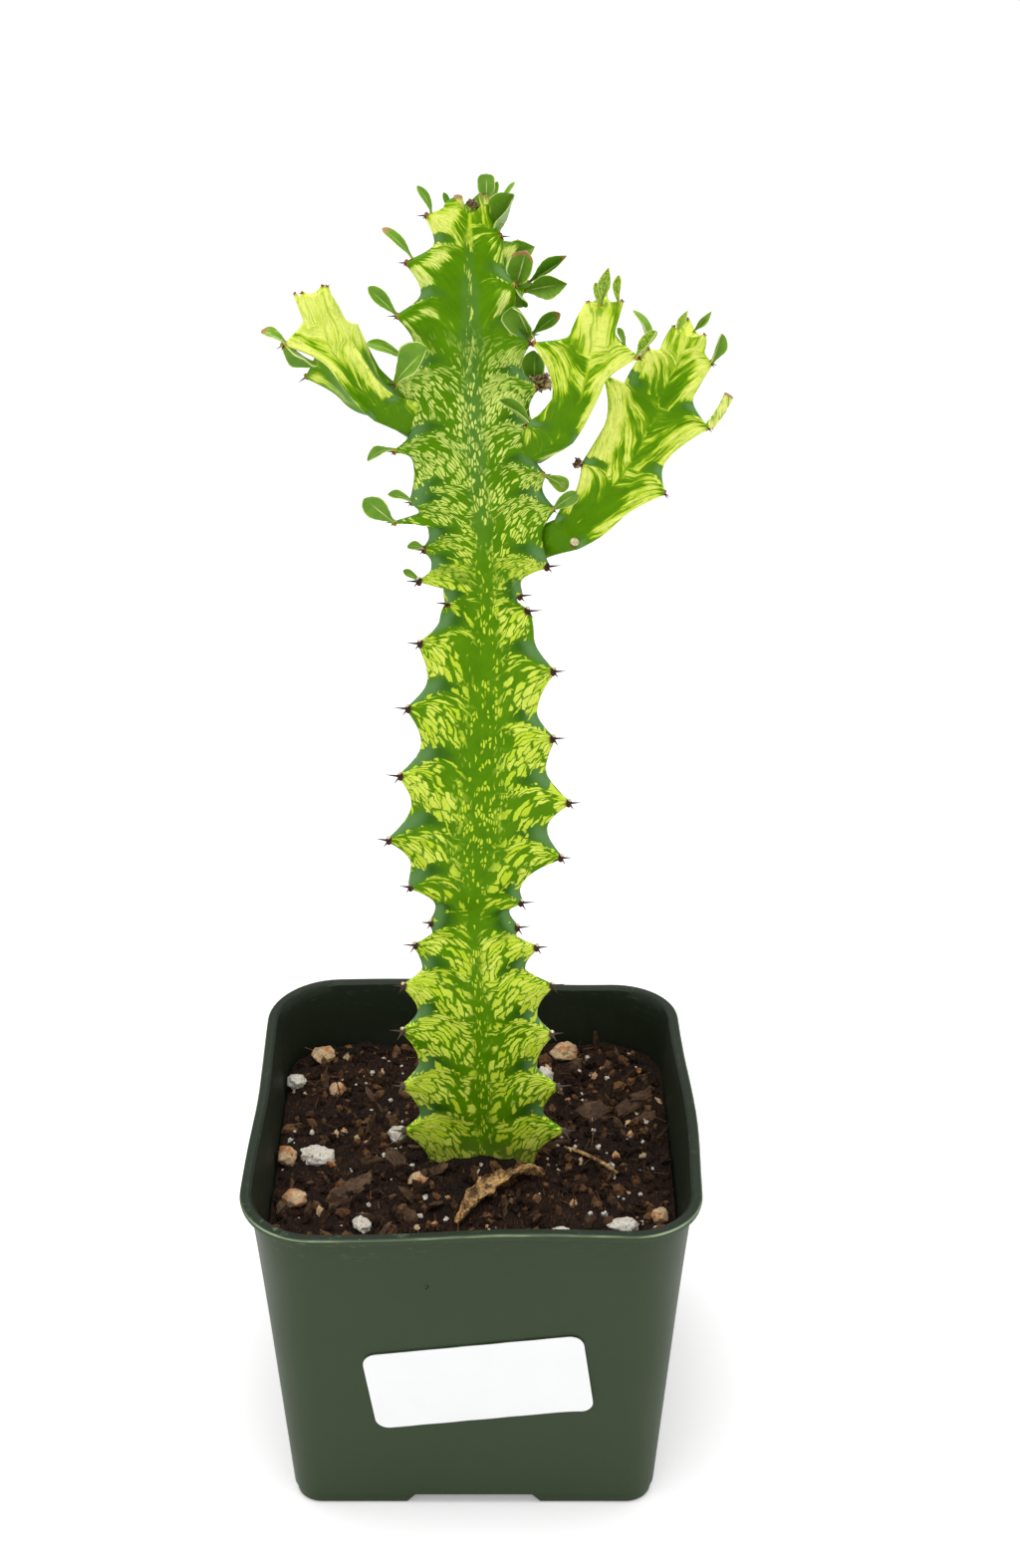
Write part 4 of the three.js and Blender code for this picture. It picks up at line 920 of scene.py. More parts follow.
def skin_attributes(stem, mesh, grid, places, directions):
    """The maps and masks that the skin's colours follow"""
    ribs, rings = len(stem["ribs"]), len(grid)
    run = np.concatenate([[0], np.cumsum(np.linalg.norm(np.diff(stem["axis"], axis=0), axis=1))])
    from_axis = grid - at_places(stem["axis"], places)[:, None]
    ways = unit(at_places(directions, places))
    heights = at_places(run, places)[:, None] + np.einsum("ijk,ik->ij", from_axis, ways)
    reaches = reaches_from_middle(grid, ribs)
    fans = {
        (face, half): fans_of(stem, grid, heights, reaches, places, face, half)
        for face in range(ribs) for half in (0, 1)
    }
    reaches, heights = reaches.reshape(2, -1), heights.ravel()
    streak_maps(mesh, fans, reaches, heights, rings)

    points = grid.reshape(-1, 3)
    level = points[:, 2]
    near = np.tile(ring_places(ribs), rings)
    band, depth = fan_masks(stem, fans, reaches, heights, level, near)
    tips = tooth_places(stem)[0]
    far = np.linalg.norm(points[:, None, :] - tips[None, :, :], axis=2).min(axis=1)
    low = stem["axis"][0][2]
    masks = {
        "near_rib": near, "dark_band": band, "fan_depth": depth,
        "tooth_tip": np.exp(-(far / 1.5) ** 2), "pale_share": table_at(stem["pale"], level),
        "middle": 1 - smooth_step(0.3, 1.3, near / table_at(stem["middle"], level)),
        "grey_middle": table_at(stem["grey"], level), "young": smooth_step(*stem["young"], level),
        "soft": smooth_step(*stem["soft"], level), "soft_share": table_at(stem["soft_share"], level),
        "edge_share": stem["edge_share"] * smooth_step(low, low + 14, level),
    }
    extra = len(mesh.vertices) - len(points)
    for name, values in masks.items():
        float_attribute(mesh, name, np.concatenate([values, np.full(extra, values[-1])]))


def shape_relief(stem, points, places, count):
    """Swells the flesh under each tooth and roughens the skin a little"""
    nearness = ring_places(len(stem["ribs"]))
    grid = points.reshape(-1, count, 3)
    around = np.roll(grid, -1, axis=1) - np.roll(grid, 1, axis=1)
    upward = np.gradient(grid, axis=0)
    normals = unit(np.cross(around, upward))
    heights = np.array([row + share for row, share in places])[:, None]
    inward = 1 - nearness[None, :]
    trace = (heights - 1) / 2 + 0.45 * inward + 0.55 * inward**2.5
    swell = 0.5 + 0.5 * np.cos(2 * math.pi * (trace - np.round(trace)))
    weight = smooth_step(0.08, 0.6, nearness) * (1 - 0.75 * smooth_step(0.75, 1, nearness))
    rise = stem["relief"] * (swell - 0.5) * weight[None, :]
    fade = np.minimum(1, np.minimum(heights / 2, (heights.max() - heights) / 2))
    rough = SKIN_ROUGH * lumps(points, 5, 3).reshape(rise.shape)
    height = rise * fade + rough * weight[None, :] + SKIN_OVER_CORE
    return grid + normals * height[:, :, None]


def make_stem(stem, material):
    directions = row_directions(stem["axis"])
    places = stem_places(stem)
    rings = np.array([stem_ring(stem, row, share, directions) for row, share in places])
    count = rings.shape[1]
    rings = shape_relief(stem, rings.reshape(-1, 3), places, count)
    rows = list(rings)
    if stem["name"] == "main_stem":
        for z in reversed(FOOT_LEVELS):
            rows.insert(0, np.column_stack([rings[0][:, :2], np.full(count, float(z))]))
        places = [(0, 0.0)] * len(FOOT_LEVELS) + places
    top = rows[-1]
    apex = np.array(stem["apex"], float)
    for share in TOP_SHARES:
        drop = apex + (top - apex) * (1 - share)
        drop[:, 2] -= (top[:, 2] - apex[2]) * TOP_DIP * math.sin(math.pi * share)
        rows.append(drop)
        places = places + [places[-1]]
    points = np.concatenate(rows + [[rows[0].mean(axis=0)], [apex]])
    faces = ring_faces(len(rows), count, len(points) - 2, len(points) - 1)
    piece = new_piece(stem["name"] + "_skin", points, faces, material)
    skin_attributes(stem, piece.data, np.array(rows), places, directions)
    return dress(piece, "stem_skin", stem["name"])


# Spines, in pairs from a horny pad on each tooth. Those at a branch's tip are the smallest.

YOUNG_SPINE = 0.72
TIP_SPINE = 0.34
SCARRED_BETWEEN = (140, 285)


def tooth_places(stem):
    """Each tooth's tip, ways outwards and up, whether it bears a scar and how large its pad is"""
    directions = row_directions(stem["axis"])
    on_main = stem["name"] == "main_stem"
    low, high = SCARRED_BETWEEN
    points, outward, upward, scarred, sizes = [], [], [], [], []
    for rib, bare in zip(stem["ribs"], stem["bare"]):
        for row in range(1, len(rib), 2):
            if row // 2 in bare:
                continue
            out = rib[row] - stem["axis"][row]
            out = unit(out - (out @ directions[row]) * directions[row])
            points.append(rib[row])
            outward.append(out)
            upward.append(directions[row])
            scarred.append(float(on_main and low < rib[row][2] < high))
            least = YOUNG_SPINE if on_main or row < len(rib) - 1 else TIP_SPINE
            sizes.append(1 - (1 - least) * smooth_step(*FRESH, rib[row][2]))
    if stem["name"] == "branch_right_outer":
        points.append(np.array(BRANCH_SCAR, float))
        outward.append(unit(np.array((0.1, -1, -0.1))))
        upward.append(unit(np.array((0.3, 0, 1))))
        scarred.append(2.0)
        sizes.append(YOUNG_SPINE)
    return np.array(points), np.array(outward), np.array(upward), scarred, sizes


def make_spines(stem, spines, pads, horn, scar):
    points, outward, upward, scarred, sizes = tooth_places(stem)
    for suffix, tree, values in (
        ("spines", spines, {"Material": horn}),
        ("pads", pads, {"Material": horn, "Scar Material": scar}),
    ):
        piece = new_piece(stem["name"] + "_" + suffix, points, [], horn)
        vector_attribute(piece.data, "outward", outward)
        vector_attribute(piece.data, "upward", upward)
        float_attribute(piece.data, "scarred", scarred)
        float_attribute(piece.data, "size", sizes)
        grow(piece, tree, values)
        settle(piece)
        float_attribute(piece.data, "pad", [float(suffix == "pads")] * len(piece.data.vertices))
        dress(piece, "stem_skin", stem["name"])


# Leaves

LEAF_LENGTH_STEPS = 22
LEAF_WIDTH_STEPS = 12
LEAF_OUTLINES = {
    "round": [
        (0, 0.22), (0.12, 0.2), (0.25, 0.3), (0.4, 0.62), (0.55, 0.88), (0.68, 1), (0.8, 0.97),
        (0.9, 0.76), (0.96, 0.5), (1, 0.12),
    ],
    "sharp": [
        (0, 0.22), (0.12, 0.22), (0.25, 0.4), (0.4, 0.76), (0.55, 1), (0.68, 0.94), (0.8, 0.68),
        (0.9, 0.36), (1, 0.04),
    ],
    "blunt": [
        (0, 0.24), (0.12, 0.3), (0.25, 0.62), (0.4, 0.9), (0.55, 1), (0.75, 1), (0.9, 0.92),
        (0.97, 0.8), (1, 0.6),
    ],
}
LEAF_SUNK = 1
LEAF_FOLD = 0.42
LEAF_ARCH = 0.1
LEAF_TWIST = 0.35
LEAF_CURL = 0.5
LEAF_WAVE = 0.12
LEAF_QUILT = 0.06
LEAF_KEEL = 0.3
LEAF_THICK = 0.3
CRUMPLED_FORM = {"fold": 0.9, "arch": 0.3, "blunt": 1}


def leaf_shape(root, way, width, face, form, seed):
    """Points of a folded blade, top and underside, with each point's place on the blade"""
    outline = LEAF_OUTLINES["sharp" if "sharp" in form else "blunt" if "blunt" in form else "round"]
    length = np.linalg.norm(way)
    way = way / length
    normal = np.array(face, float)
    normal = unit(normal - (normal @ way) * way)
    sideways = np.cross(way, normal)
    start = root - way * LEAF_SUNK
    fold, arch = form.get("fold", LEAF_FOLD), form.get("arch", LEAF_ARCH)
    turn_by = LEAF_TWIST * math.sin(seed * 1.7)
    top, low, places = [], [], []
    for i in range(LEAF_LENGTH_STEPS + 1):
        share = i / LEAF_LENGTH_STEPS
        half = width / 2 * eased_table_at(outline, share)
        open_up = fold * (1.25 - 0.5 * share)
        lift = arch * length * 4 * share * (1 - share)
        curl = LEAF_CURL * length * max(0, share - 0.62) ** 2 * math.cos(seed * 2.1)
        centre = start + way * share * (length + LEAF_SUNK) + normal * (lift + curl)
        turn = turn_by * share
        across = math.cos(turn) * sideways + math.sin(turn) * normal
        up = math.cos(turn) * normal - math.sin(turn) * sideways
        for j in range(LEAF_WIDTH_STEPS + 1):
            side = 2 * j / LEAF_WIDTH_STEPS - 1
            rise = open_up * half * (2 * abs(side) ** 1.15 - 1)
            ripple = math.sin(share * 11 + seed * 2 + 1.5 * side)
            wave = LEAF_WAVE * half * abs(side) ** 3 * ripple
            veins = math.sin(14 * math.pi * (share * 0.8 - 0.35 * abs(side)))
            quilt = LEAF_QUILT * veins * abs(side)
            keel = LEAF_KEEL * max(0, 1 - abs(side) * 4) * (1 - share)
            at = centre + across * side * half * (1 - 0.25 * open_up) + up * (rise + wave + quilt)
            thick = LEAF_THICK * (1 - 0.5 * abs(side) ** 2) * (1.35 - 0.5 * share)
            top.append(at + up * thick)
            low.append(at - up * (thick + keel))
            places.append((side, share))
    return np.array(top + low), np.array(places + places)


def seat_leaf(stem, near, way):
    """Where a leaf's foot meets the skin if slid along the line of sight, and its way from there"""
    skin = bpy.data.objects[stem["name"] + "_skin"].data.vertices
    skin = np.array([point.co for point in skin]) / MM
    sight = unit(near - np.array(CAMERA_PLACE))
    slides = near + np.linspace(-SIGHT_SLIDE, SIGHT_SLIDE, 4 * SIGHT_SLIDE + 1)[:, None] * sight
    gaps = np.linalg.norm(slides[:, None, :] - skin[None, :, :], axis=2)
    nearest = gaps.min(axis=1).argmin()
    root = skin[gaps[nearest].argmin()]
    return root, way + slides[nearest] - root


def make_leaf(name, stem, leaf, seed, material):
    rib, tooth, way, width, face, form = leaf
    root = np.array(form.get("at", stem["ribs"][rib][2 * tooth + 1]), float)
    way = np.array(way, float)
    if "near" in form:
        root, way = seat_leaf(stem, np.array(form["near"], float), way)
    points, places = leaf_shape(root, way, width, face, form, seed)
    faces = sheet_faces(LEAF_LENGTH_STEPS, LEAF_WIDTH_STEPS)
    piece = new_piece(name + "_blade", points, faces, material)
    total = len(places)
    masks = {
        "across": np.abs(places[:, 0]), "along": places[:, 1],
        "underside": np.repeat([0.0, 1.0], total // 2), "variety": np.full(total, seed * 0.377 % 1),
        "light": np.full(total, form.get("light", 0)), "burnt": np.full(total, form.get("burnt", 0)),
    }
    for mask, values in masks.items():
        float_attribute(piece.data, mask, values)
    modifier = piece.modifiers.new("smooth", "SUBSURF")
    modifier.levels = modifier.render_levels = 1
    return settle(piece)


STUB_RINGS = 12
STUB_SIDES = 20
STUB_BEND = 0.35


def make_stub(name, foot, top, radii, material):
    """A short soft stalk, flattened a little, that ends cut off"""
    foot, top = np.array(foot, float), np.array(top, float)
    rings, sides = STUB_RINGS, STUB_SIDES
    way = unit(top - foot)
    side = unit(np.cross(way, (0, -1, 0.1)))
    out = np.cross(side, way)
    points = []
    for i in range(rings):
        share = i / (rings - 1)
        radius = radii[0] + (radii[1] - radii[0]) * share**0.6
        bend_by = STUB_BEND * math.sin(math.pi * share)
        centre = foot + (top - foot) * share + side * bend_by
        for k in range(sides):
            angle = 2 * math.pi * k / sides
            reach = radius * (1 + 0.07 * math.sin(3 * angle + share * 2))
            points.append(centre + reach * (math.cos(angle) * side + 0.8 * math.sin(angle) * out))
    rim = np.array(points[-sides:])
    middle = rim.mean(axis=0)
    for inset, drop in ((0.86, 0.1), (0.5, -0.25)):
        points += list(middle + (rim - middle) * inset + way * drop)
    points += [foot, middle - way * 0.35]
    faces = ring_faces(rings + 2, sides, len(points) - 2, len(points) - 1)
    piece = new_piece(name, points, faces, material)
    along = np.repeat(np.linspace(0, 1, rings), sides)
    along = np.concatenate([along, np.full(2 * sides, 1.3), [0, 1.4]])
    float_attribute(piece.data, "along", along)
    return piece


BUD_BLADES = 7
BUD_CRUMPLE = 0.22


def make_dried_bud(name, place, size, seed, material, node):
    """A few small blades dried brown and crumpled into each other"""
    chance = np.random.default_rng(seed)
    points, faces = [], []
    blade_faces = sheet_faces(LEAF_LENGTH_STEPS, LEAF_WIDTH_STEPS)
    for blade in range(BUD_BLADES):
        way = unit(chance.normal(size=3) * (1, 0.6, 0.7) + (0.25, -0.2, 0.5))
        way = way * size * chance.uniform(0.5, 0.95)
        face = chance.normal(size=3)
        width = size * chance.uniform(0.5, 0.9)
        shape, _ = leaf_shape(np.array(place, float), way, width, face, CRUMPLED_FORM, seed + blade)
        crumple = [lumps(shape, size * 0.35, seed + k, 2) for k in range(3)]
        shape = shape + size * BUD_CRUMPLE * np.stack(crumple, axis=1)
        start = len(points)
        points += list(shape)
        faces += [tuple(start + i for i in corners) for corners in blade_faces]
    piece = new_piece(name, points, faces, material)
    return dress(piece, "dried_leaf", node)


# Node trees

class Graph:
    """Adds nodes to a tree. An input is given as a socket to join it to, or as a value"""

    def __init__(self, tree):
        self.tree = tree

    def add(self, kind, inputs=(), **settings):
        node = self.tree.nodes.new(kind)
        for name, value in settings.items():
            setattr(node, name, value)
        for name, value in dict(inputs).items():
            self.feed(node.inputs[name], value)
        return node

    def feed(self, socket, value):
        if isinstance(value, bpy.types.NodeSocket):
            self.tree.links.new(value, socket)
        else:
            socket.default_value = value

    def math(self, operation, *values):
        return self.add("ShaderNodeMath", dict(enumerate(values)), operation=operation).outputs[0]

    def plus(self, first, second):
        return self.math("ADD", first, second)

    def minus(self, first, second):
        return self.math("SUBTRACT", first, second)

    def times(self, first, second):
        return self.math("MULTIPLY", first, second)

    def divide(self, first, second):
        return self.math("DIVIDE", first, second)

    def times_plus(self, first, second, third):
        """The product of the first two, plus the third"""
        return self.math("MULTIPLY_ADD", first, second, third)

    def vector(self, operation, *values):
        inputs = dict(enumerate(values))
        return self.add("ShaderNodeVectorMath", inputs, operation=operation).outputs[0]

    def scale(self, vector, factor):
        node = self.add("ShaderNodeVectorMath", {0: vector, "Scale": factor}, operation="SCALE")
        return node.outputs[0]

    def split(self, vector):
        return self.add("ShaderNodeSeparateXYZ", {0: vector}).outputs

    def join(self, x=0.0, y=0.0, z=0.0):
        return self.add("ShaderNodeCombineXYZ", {0: x, 1: y, 2: z}).outputs[0]

    def fade(self, value, low, high, start=0.0, end=1.0):
        """A smooth step of the value from start to end"""
        inputs = {"Value": value, "From Min": low, "From Max": high, "To Min": start, "To Max": end}
        return self.add("ShaderNodeMapRange", inputs, interpolation_type="SMOOTHSTEP").outputs[0]

    def mix(self, share, first, second):
        inputs = {0: share, 6: first, 7: second}
        return self.add("ShaderNodeMix", inputs, data_type="RGBA").outputs[2]

    def blend(self, share, first, second):
        return self.add("ShaderNodeMix", {0: share, 2: first, 3: second}).outputs[0]

    def clouds(self, vector, scale, detail=2.0, roughness=0.5):
        inputs = {"Vector": vector, "Scale": scale, "Detail": detail, "Roughness": roughness}
        return self.add("ShaderNodeTexNoise", inputs).outputs["Fac"]

    def cells(self, vector, scale, feature="F1", dimensions="3D"):
        settings = {"feature": feature, "voronoi_dimensions": dimensions}
        return self.add("ShaderNodeTexVoronoi", {"Vector": vector, "Scale": scale}, **settings).outputs

    def attribute(self, name):
        return self.add("ShaderNodeAttribute", attribute_name=name).outputs["Fac"]

    def uv(self, name):
        return self.add("ShaderNodeUVMap", uv_map=name).outputs[0]

    def place(self):
        """Object coordinates in millimetres"""
        return self.scale(self.add("ShaderNodeTexCoord").outputs["Object"], 1 / MM)

    def bump(self, height, strength, depth):
        """Depth is in millimetres"""
        inputs = {"Height": height, "Strength": strength, "Distance": depth * MM}
        return self.add("ShaderNodeBump", inputs).outputs[0]

    # What follows is for Geometry Nodes

    def stored(self, name, kind="FLOAT"):
        """The values of a mesh attribute"""
        inputs = {"Name": name}
        return self.add("GeometryNodeInputNamedAttribute", inputs, data_type=kind).outputs[0]

    def random(self, low, high, seed, kind="FLOAT"):
        first = 2 if kind == "FLOAT" else 0
        inputs = {first: low, first + 1: high, "Seed": seed}
        return self.add("FunctionNodeRandomValue", inputs, data_type=kind).outputs[first // 2]

    def instances(self, points, shape, turn, scale):
        inputs = {"Points": points, "Instance": shape, "Rotation": turn, "Scale": scale}
        return self.add("GeometryNodeInstanceOnPoints", inputs).outputs[0]

    def realize(self, instances):
        return self.add("GeometryNodeRealizeInstances", {0: instances}).outputs[0]

    def clad(self, geometry, material):
        """The geometry in its material"""
        inputs = {"Geometry": geometry, "Material": material}
        return self.add("GeometryNodeSetMaterial", inputs).outputs[0]


def tint(red, green, blue):
    """A colour from its 0 to 255 display values"""
    return tuple(
        c / 12.92 if c <= 0.04045 else ((c + 0.055) / 1.055) ** 2.4
        for c in (red / 255, green / 255, blue / 255)
    ) + (1.0,)


def new_group(name, kind, inputs, outputs):
    """A node group with named inputs and outputs: the group, its graph, its inputs and outputs"""
    tree = bpy.data.node_groups.new(name, kind)
    for socket_name, socket_type, value in inputs:
        socket = tree.interface.new_socket(socket_name, in_out="INPUT", socket_type=socket_type)
        if value is not None:
            socket.default_value = value
    for socket_name, socket_type in outputs:
        tree.interface.new_socket(socket_name, in_out="OUTPUT", socket_type=socket_type)
    graph = Graph(tree)
    return tree, graph, graph.add("NodeGroupInput").outputs, graph.add("NodeGroupOutput").inputs


FLOAT, VECTOR, GEOMETRY = "NodeSocketFloat", "NodeSocketVector", "NodeSocketGeometry"
MATERIAL = "NodeSocketMaterial"


def streaked_cells():
    """Small angular cells along a direction, some pale and some green, with thin lines between"""
    group, g, given, result = new_group(
        "streaked cells", "ShaderNodeTree",
        [
            ("Vector", VECTOR, None), ("Width", FLOAT, 1.4), ("Length", FLOAT, 4.5),
            ("Coverage", FLOAT, 0.6), ("Line", FLOAT, 0.08), ("Waver", FLOAT, 0.5),
        ],
        [("Pale", FLOAT), ("Chance", FLOAT)],
    )
    x, y, _ = g.split(given["Vector"])
    wave = g.clouds(given["Vector"], 0.35, 2)
    nudge = g.times(g.minus(wave, 0.5), given["Waver"])
    across = g.plus(g.divide(x, given["Width"]), g.times(nudge, 1.6))
    along = g.divide(y, given["Length"])
    place = g.join(across, along)
    chance = g.cells(place, 1, dimensions="2D")["Color"]
    red = g.add("ShaderNodeSeparateColor", {0: chance}).outputs[0]
    edge = g.cells(place, 1, "DISTANCE_TO_EDGE", dimensions="2D")["Distance"]
    fray = g.minus(g.clouds(given["Vector"], 2.2, 2), 0.5)
    edge = g.times_plus(fray, 0.16, edge)
    over = g.minus(given["Coverage"], red)
    pale = g.fade(over, -0.04, 0.06)
    rim = g.minus(edge, given["Line"])
    line = g.fade(rim, -0.06, 0.08, 1.0, 0.0)
    g.feed(result["Pale"], g.times(pale, g.minus(1.0, line)))
    g.feed(result["Chance"], red)
    return group


def soft_streaks():
    """Soft pale streaks of uneven width along a direction, with thin green lines in them"""
    group, g, given, result = new_group(
        "soft streaks", "ShaderNodeTree",
        [
            ("Vector", VECTOR, None), ("Width", FLOAT, 1.6), ("Length", FLOAT, 12.0),
            ("Amount", FLOAT, 0.5),
        ],
        [("Pale", FLOAT), ("Halo", FLOAT), ("Chance", FLOAT)],
    )
    x, y, _ = g.split(given["Vector"])
    across, along = g.divide(x, given["Width"]), g.divide(y, given["Length"])
    across = g.times_plus(g.clouds(given["Vector"], 0.16, 2), 1.6, across)
    coarse = g.clouds(g.join(across, along), 0.55, 1)
    finer = g.clouds(g.join(g.times(across, 2.3), g.times(along, 1.7)), 1.0, 2)
    field = g.blend(0.42, coarse, finer)
    bound = g.times_plus(given["Amount"], -0.44, 0.72)
    over = g.minus(field, bound)
    pale = g.fade(over, -0.02, 0.035)
    ridge = g.math("ABSOLUTE", g.minus(finer, 0.5))
    line = g.times(g.fade(ridge, 0.045, 0.008), g.fade(over, 0.25, 0.0, 0.3, 0.85))
    g.feed(result["Pale"], g.times(pale, g.minus(1.0, line)))
    g.feed(result["Halo"], g.fade(over, -0.1, 0.0))
    g.feed(result["Chance"], g.fade(over, 0.0, 0.2))
    return group


def fine_grain():
    """A height made of fine clouds and small pits"""
    group, g, given, result = new_group(
        "fine grain", "ShaderNodeTree",
        [("Vector", VECTOR, None), ("Size", FLOAT, 0.5), ("Pits", FLOAT, 0.3)],
        [("Height", FLOAT)],
    )
    size = g.divide(1.0, given["Size"])
    fine = g.clouds(given["Vector"], size, 3, 0.6)
    pits = g.cells(given["Vector"], g.times(size, 0.7))["Distance"]
    pits = g.fade(pits, 0.0, 0.35)
    height = g.plus(fine, g.times(pits, given["Pits"]))
    g.feed(result["Height"], height)
    return group


def settled_dust():
    """How much dust lies on a place: more on what faces up, in patches"""
    group, g, given, result = new_group(
        "settled dust", "ShaderNodeTree",
        [("Vector", VECTOR, None), ("Amount", FLOAT, 0.3), ("Patch", FLOAT, 9.0)],
        [("Dust", FLOAT)],
    )
    up = g.split(g.add("ShaderNodeNewGeometry").outputs["Normal"])[2]
    patches = g.clouds(given["Vector"], g.divide(1.0, given["Patch"]), 5, 0.62)
    specks = g.clouds(given["Vector"], 1.6, 2, 0.7)
    dust = g.fade(g.plus(patches, g.times(specks, 0.4)), 0.55, 0.95)
    facing = g.fade(up, -0.6, 0.9, 0.45, 1.0)
    g.feed(result["Dust"], g.times(g.times(dust, facing), given["Amount"]))
    return group


def new_tree(name, inputs):
    """A Geometry Nodes group that turns a mesh into another, with more named inputs"""
    mesh = ("Geometry", GEOMETRY, None)
    return new_group(name, "GeometryNodeTree", [mesh, *inputs], [("Geometry", GEOMETRY)])


def new_material(name, **values):
    """A material and the graph of its nodes. The values go on the shader's own sockets"""
    material = bpy.data.materials.new(name)
    material.use_nodes = True
    shader = material.node_tree.nodes["Principled BSDF"]
    for key, value in values.items():
        shader.inputs[key.replace("_", " ")].default_value = value
    return material, Graph(material.node_tree), shader.inputs


def use(g, group, inputs):
    """The outputs of a shader node group that is placed with these inputs"""
    return g.add("ShaderNodeGroup", inputs, node_tree=group).outputs


def paint(g, shader, colour, height, strength, depth):
    """The shader's colour and its relief, whose depth is in millimetres"""
    g.feed(shader["Base Color"], colour)
    g.feed(shader["Normal"], g.bump(height, strength, depth))


SKIN_MASKS = (
    "near_rib", "dark_band", "tooth_tip", "pale_share", "middle", "grey_middle", "fan_depth",
    "young", "soft", "soft_share", "edge_share",
)


def skin_streaks(g, mask, level, uneven, cells, streaks, width):
    """How pale the skin is, a chance value for its shade, and how near it is to a soft streak"""
    near_rib, band, middle, grey = (
        mask[name] for name in ("near_rib", "dark_band", "middle", "grey_middle")
    )
    young, soft, depth = mask["young"], mask["soft"], mask["fan_depth"]
    down_fan, over_face = (g.scale(g.uv(name), 100) for name in ("streaks", "face"))
    amount = g.times_plus(uneven, 2.6, mask["pale_share"])
    amount = g.minus(amount, g.times(band, 0.9))
    fan_amount = g.minus(amount, g.times(middle, 0.35))
    edge = g.times(g.fade(near_rib, 0.45, 0.85), g.fade(depth, 0.02, 0.25))
    inner = g.times(g.minus(1.0, edge), g.fade(depth, 0.75, 1.35, 0.0, 0.35))
    fan_amount = g.minus(fan_amount, inner)
    fan_amount = g.times_plus(edge, g.fade(level, 275, 295, 0.28, 0.12), fan_amount)
    fans = [
        use(g, cells, {
            "Vector": down_fan, "Width": wide, "Length": long, "Coverage": fan_amount,
            "Line": g.fade(fan_amount, 0.7, 1.3, 0.13, 0.04), "Waver": 1.1,
        })
        for wide, long in ((1.9, 5.6), (0.95, 2.6))
    ]
    soft_amount = g.times_plus(uneven, 1.5, mask["soft_share"])
    soft_amount = g.times_plus(edge, mask["edge_share"], soft_amount)
    soft_amount = g.times_plus(young, 0.34, soft_amount)
    soft_amount = g.minus(soft_amount, g.times(band, 1.4))
    soft_amount = g.minus(soft_amount, g.times(middle, grey))
    flow = use(g, streaks, {
        "Vector": down_fan, "Width": width, "Length": width * 8.0, "Amount": soft_amount,
    })
    dash_amount = g.times_plus(grey, 0.25, g.times_plus(amount, 0.6, -0.14))
    dashes = use(g, cells, {
        "Vector": over_face, "Width": 0.75, "Length": 2.1, "Coverage": dash_amount,
        "Line": 0.16, "Waver": 0.7,
    })
    soft_dashes = use(g, streaks, {
        "Vector": over_face, "Width": 0.8, "Length": 3.2,
        "Amount": g.times_plus(young, 0.6, g.fade(near_rib, 0.3, 0.0, 0.05, 0.32)),
    })
    high = g.fade(level, 276, 290)
    fan_pale, fan_chance = (g.blend(high, fans[0][end], fans[1][end]) for end in ("Pale", "Chance"))
    hard_pale = g.blend(middle, fan_pale, dashes["Pale"])
    soft_pale = g.blend(middle, flow["Pale"], soft_dashes["Pale"])
    chance = g.blend(soft, g.blend(middle, fan_chance, dashes["Chance"]), flow["Chance"])
    return g.blend(soft, hard_pale, soft_pale), chance, flow["Halo"]


def skin_green(g, mask, shades, halo):
    """The green under the streaks, dark over each tooth with a painted sheen near the rib, bluish in a
    grey middle
    """
    drawn = g.clouds(g.vector("MULTIPLY", g.scale(g.uv("streaks"), 100), (1.0, 0.12, 1.0)), 0.8, 3)
    band, soft = mask["dark_band"], mask["soft"]
    green = g.mix(g.blend(0.35, shades, drawn), tint(56, 108, 0), tint(104, 156, 4))
    dark = g.mix(shades, tint(30, 76, 14), tint(52, 102, 30))
    dark = g.mix(soft, dark, g.mix(shades, tint(50, 100, 20), tint(92, 138, 50)))
    green = g.mix(g.times(g.times(halo, soft), 0.5), green, tint(132, 178, 20))
    green = g.mix(g.times(band, 0.85), green, dark)
    # Painted sheen: near the rib the dark band is painted a paler bluish green, a highlight put into
    # the colour
    painted_sheen = g.times(band, g.fade(mask["near_rib"], 0.72, 0.98, 0.0, 0.55))
    green = g.mix(painted_sheen, green, tint(120, 162, 104))
    bluish = g.mix(shades, tint(68, 114, 38), tint(102, 144, 62))
    return g.mix(g.times(g.times(mask["middle"], mask["grey_middle"]), 0.75), green, bluish)


def skin_yellow(g, mask, chance, place):
    """The streaks' own colour, a little greener in fine specks"""
    yellow = g.mix(chance, tint(196, 222, 46), tint(232, 244, 104))
    yellow = g.mix(g.times(mask["soft"], chance), yellow, tint(240, 248, 122))
    yellow = g.mix(g.times(mask["grey_middle"], 0.45), yellow, tint(222, 236, 156))
    fine = g.clouds(place, 1.3, 2)
    return g.mix(g.fade(fine, 0.5, 0.75, 0.0, 0.35), yellow, tint(160, 200, 30))


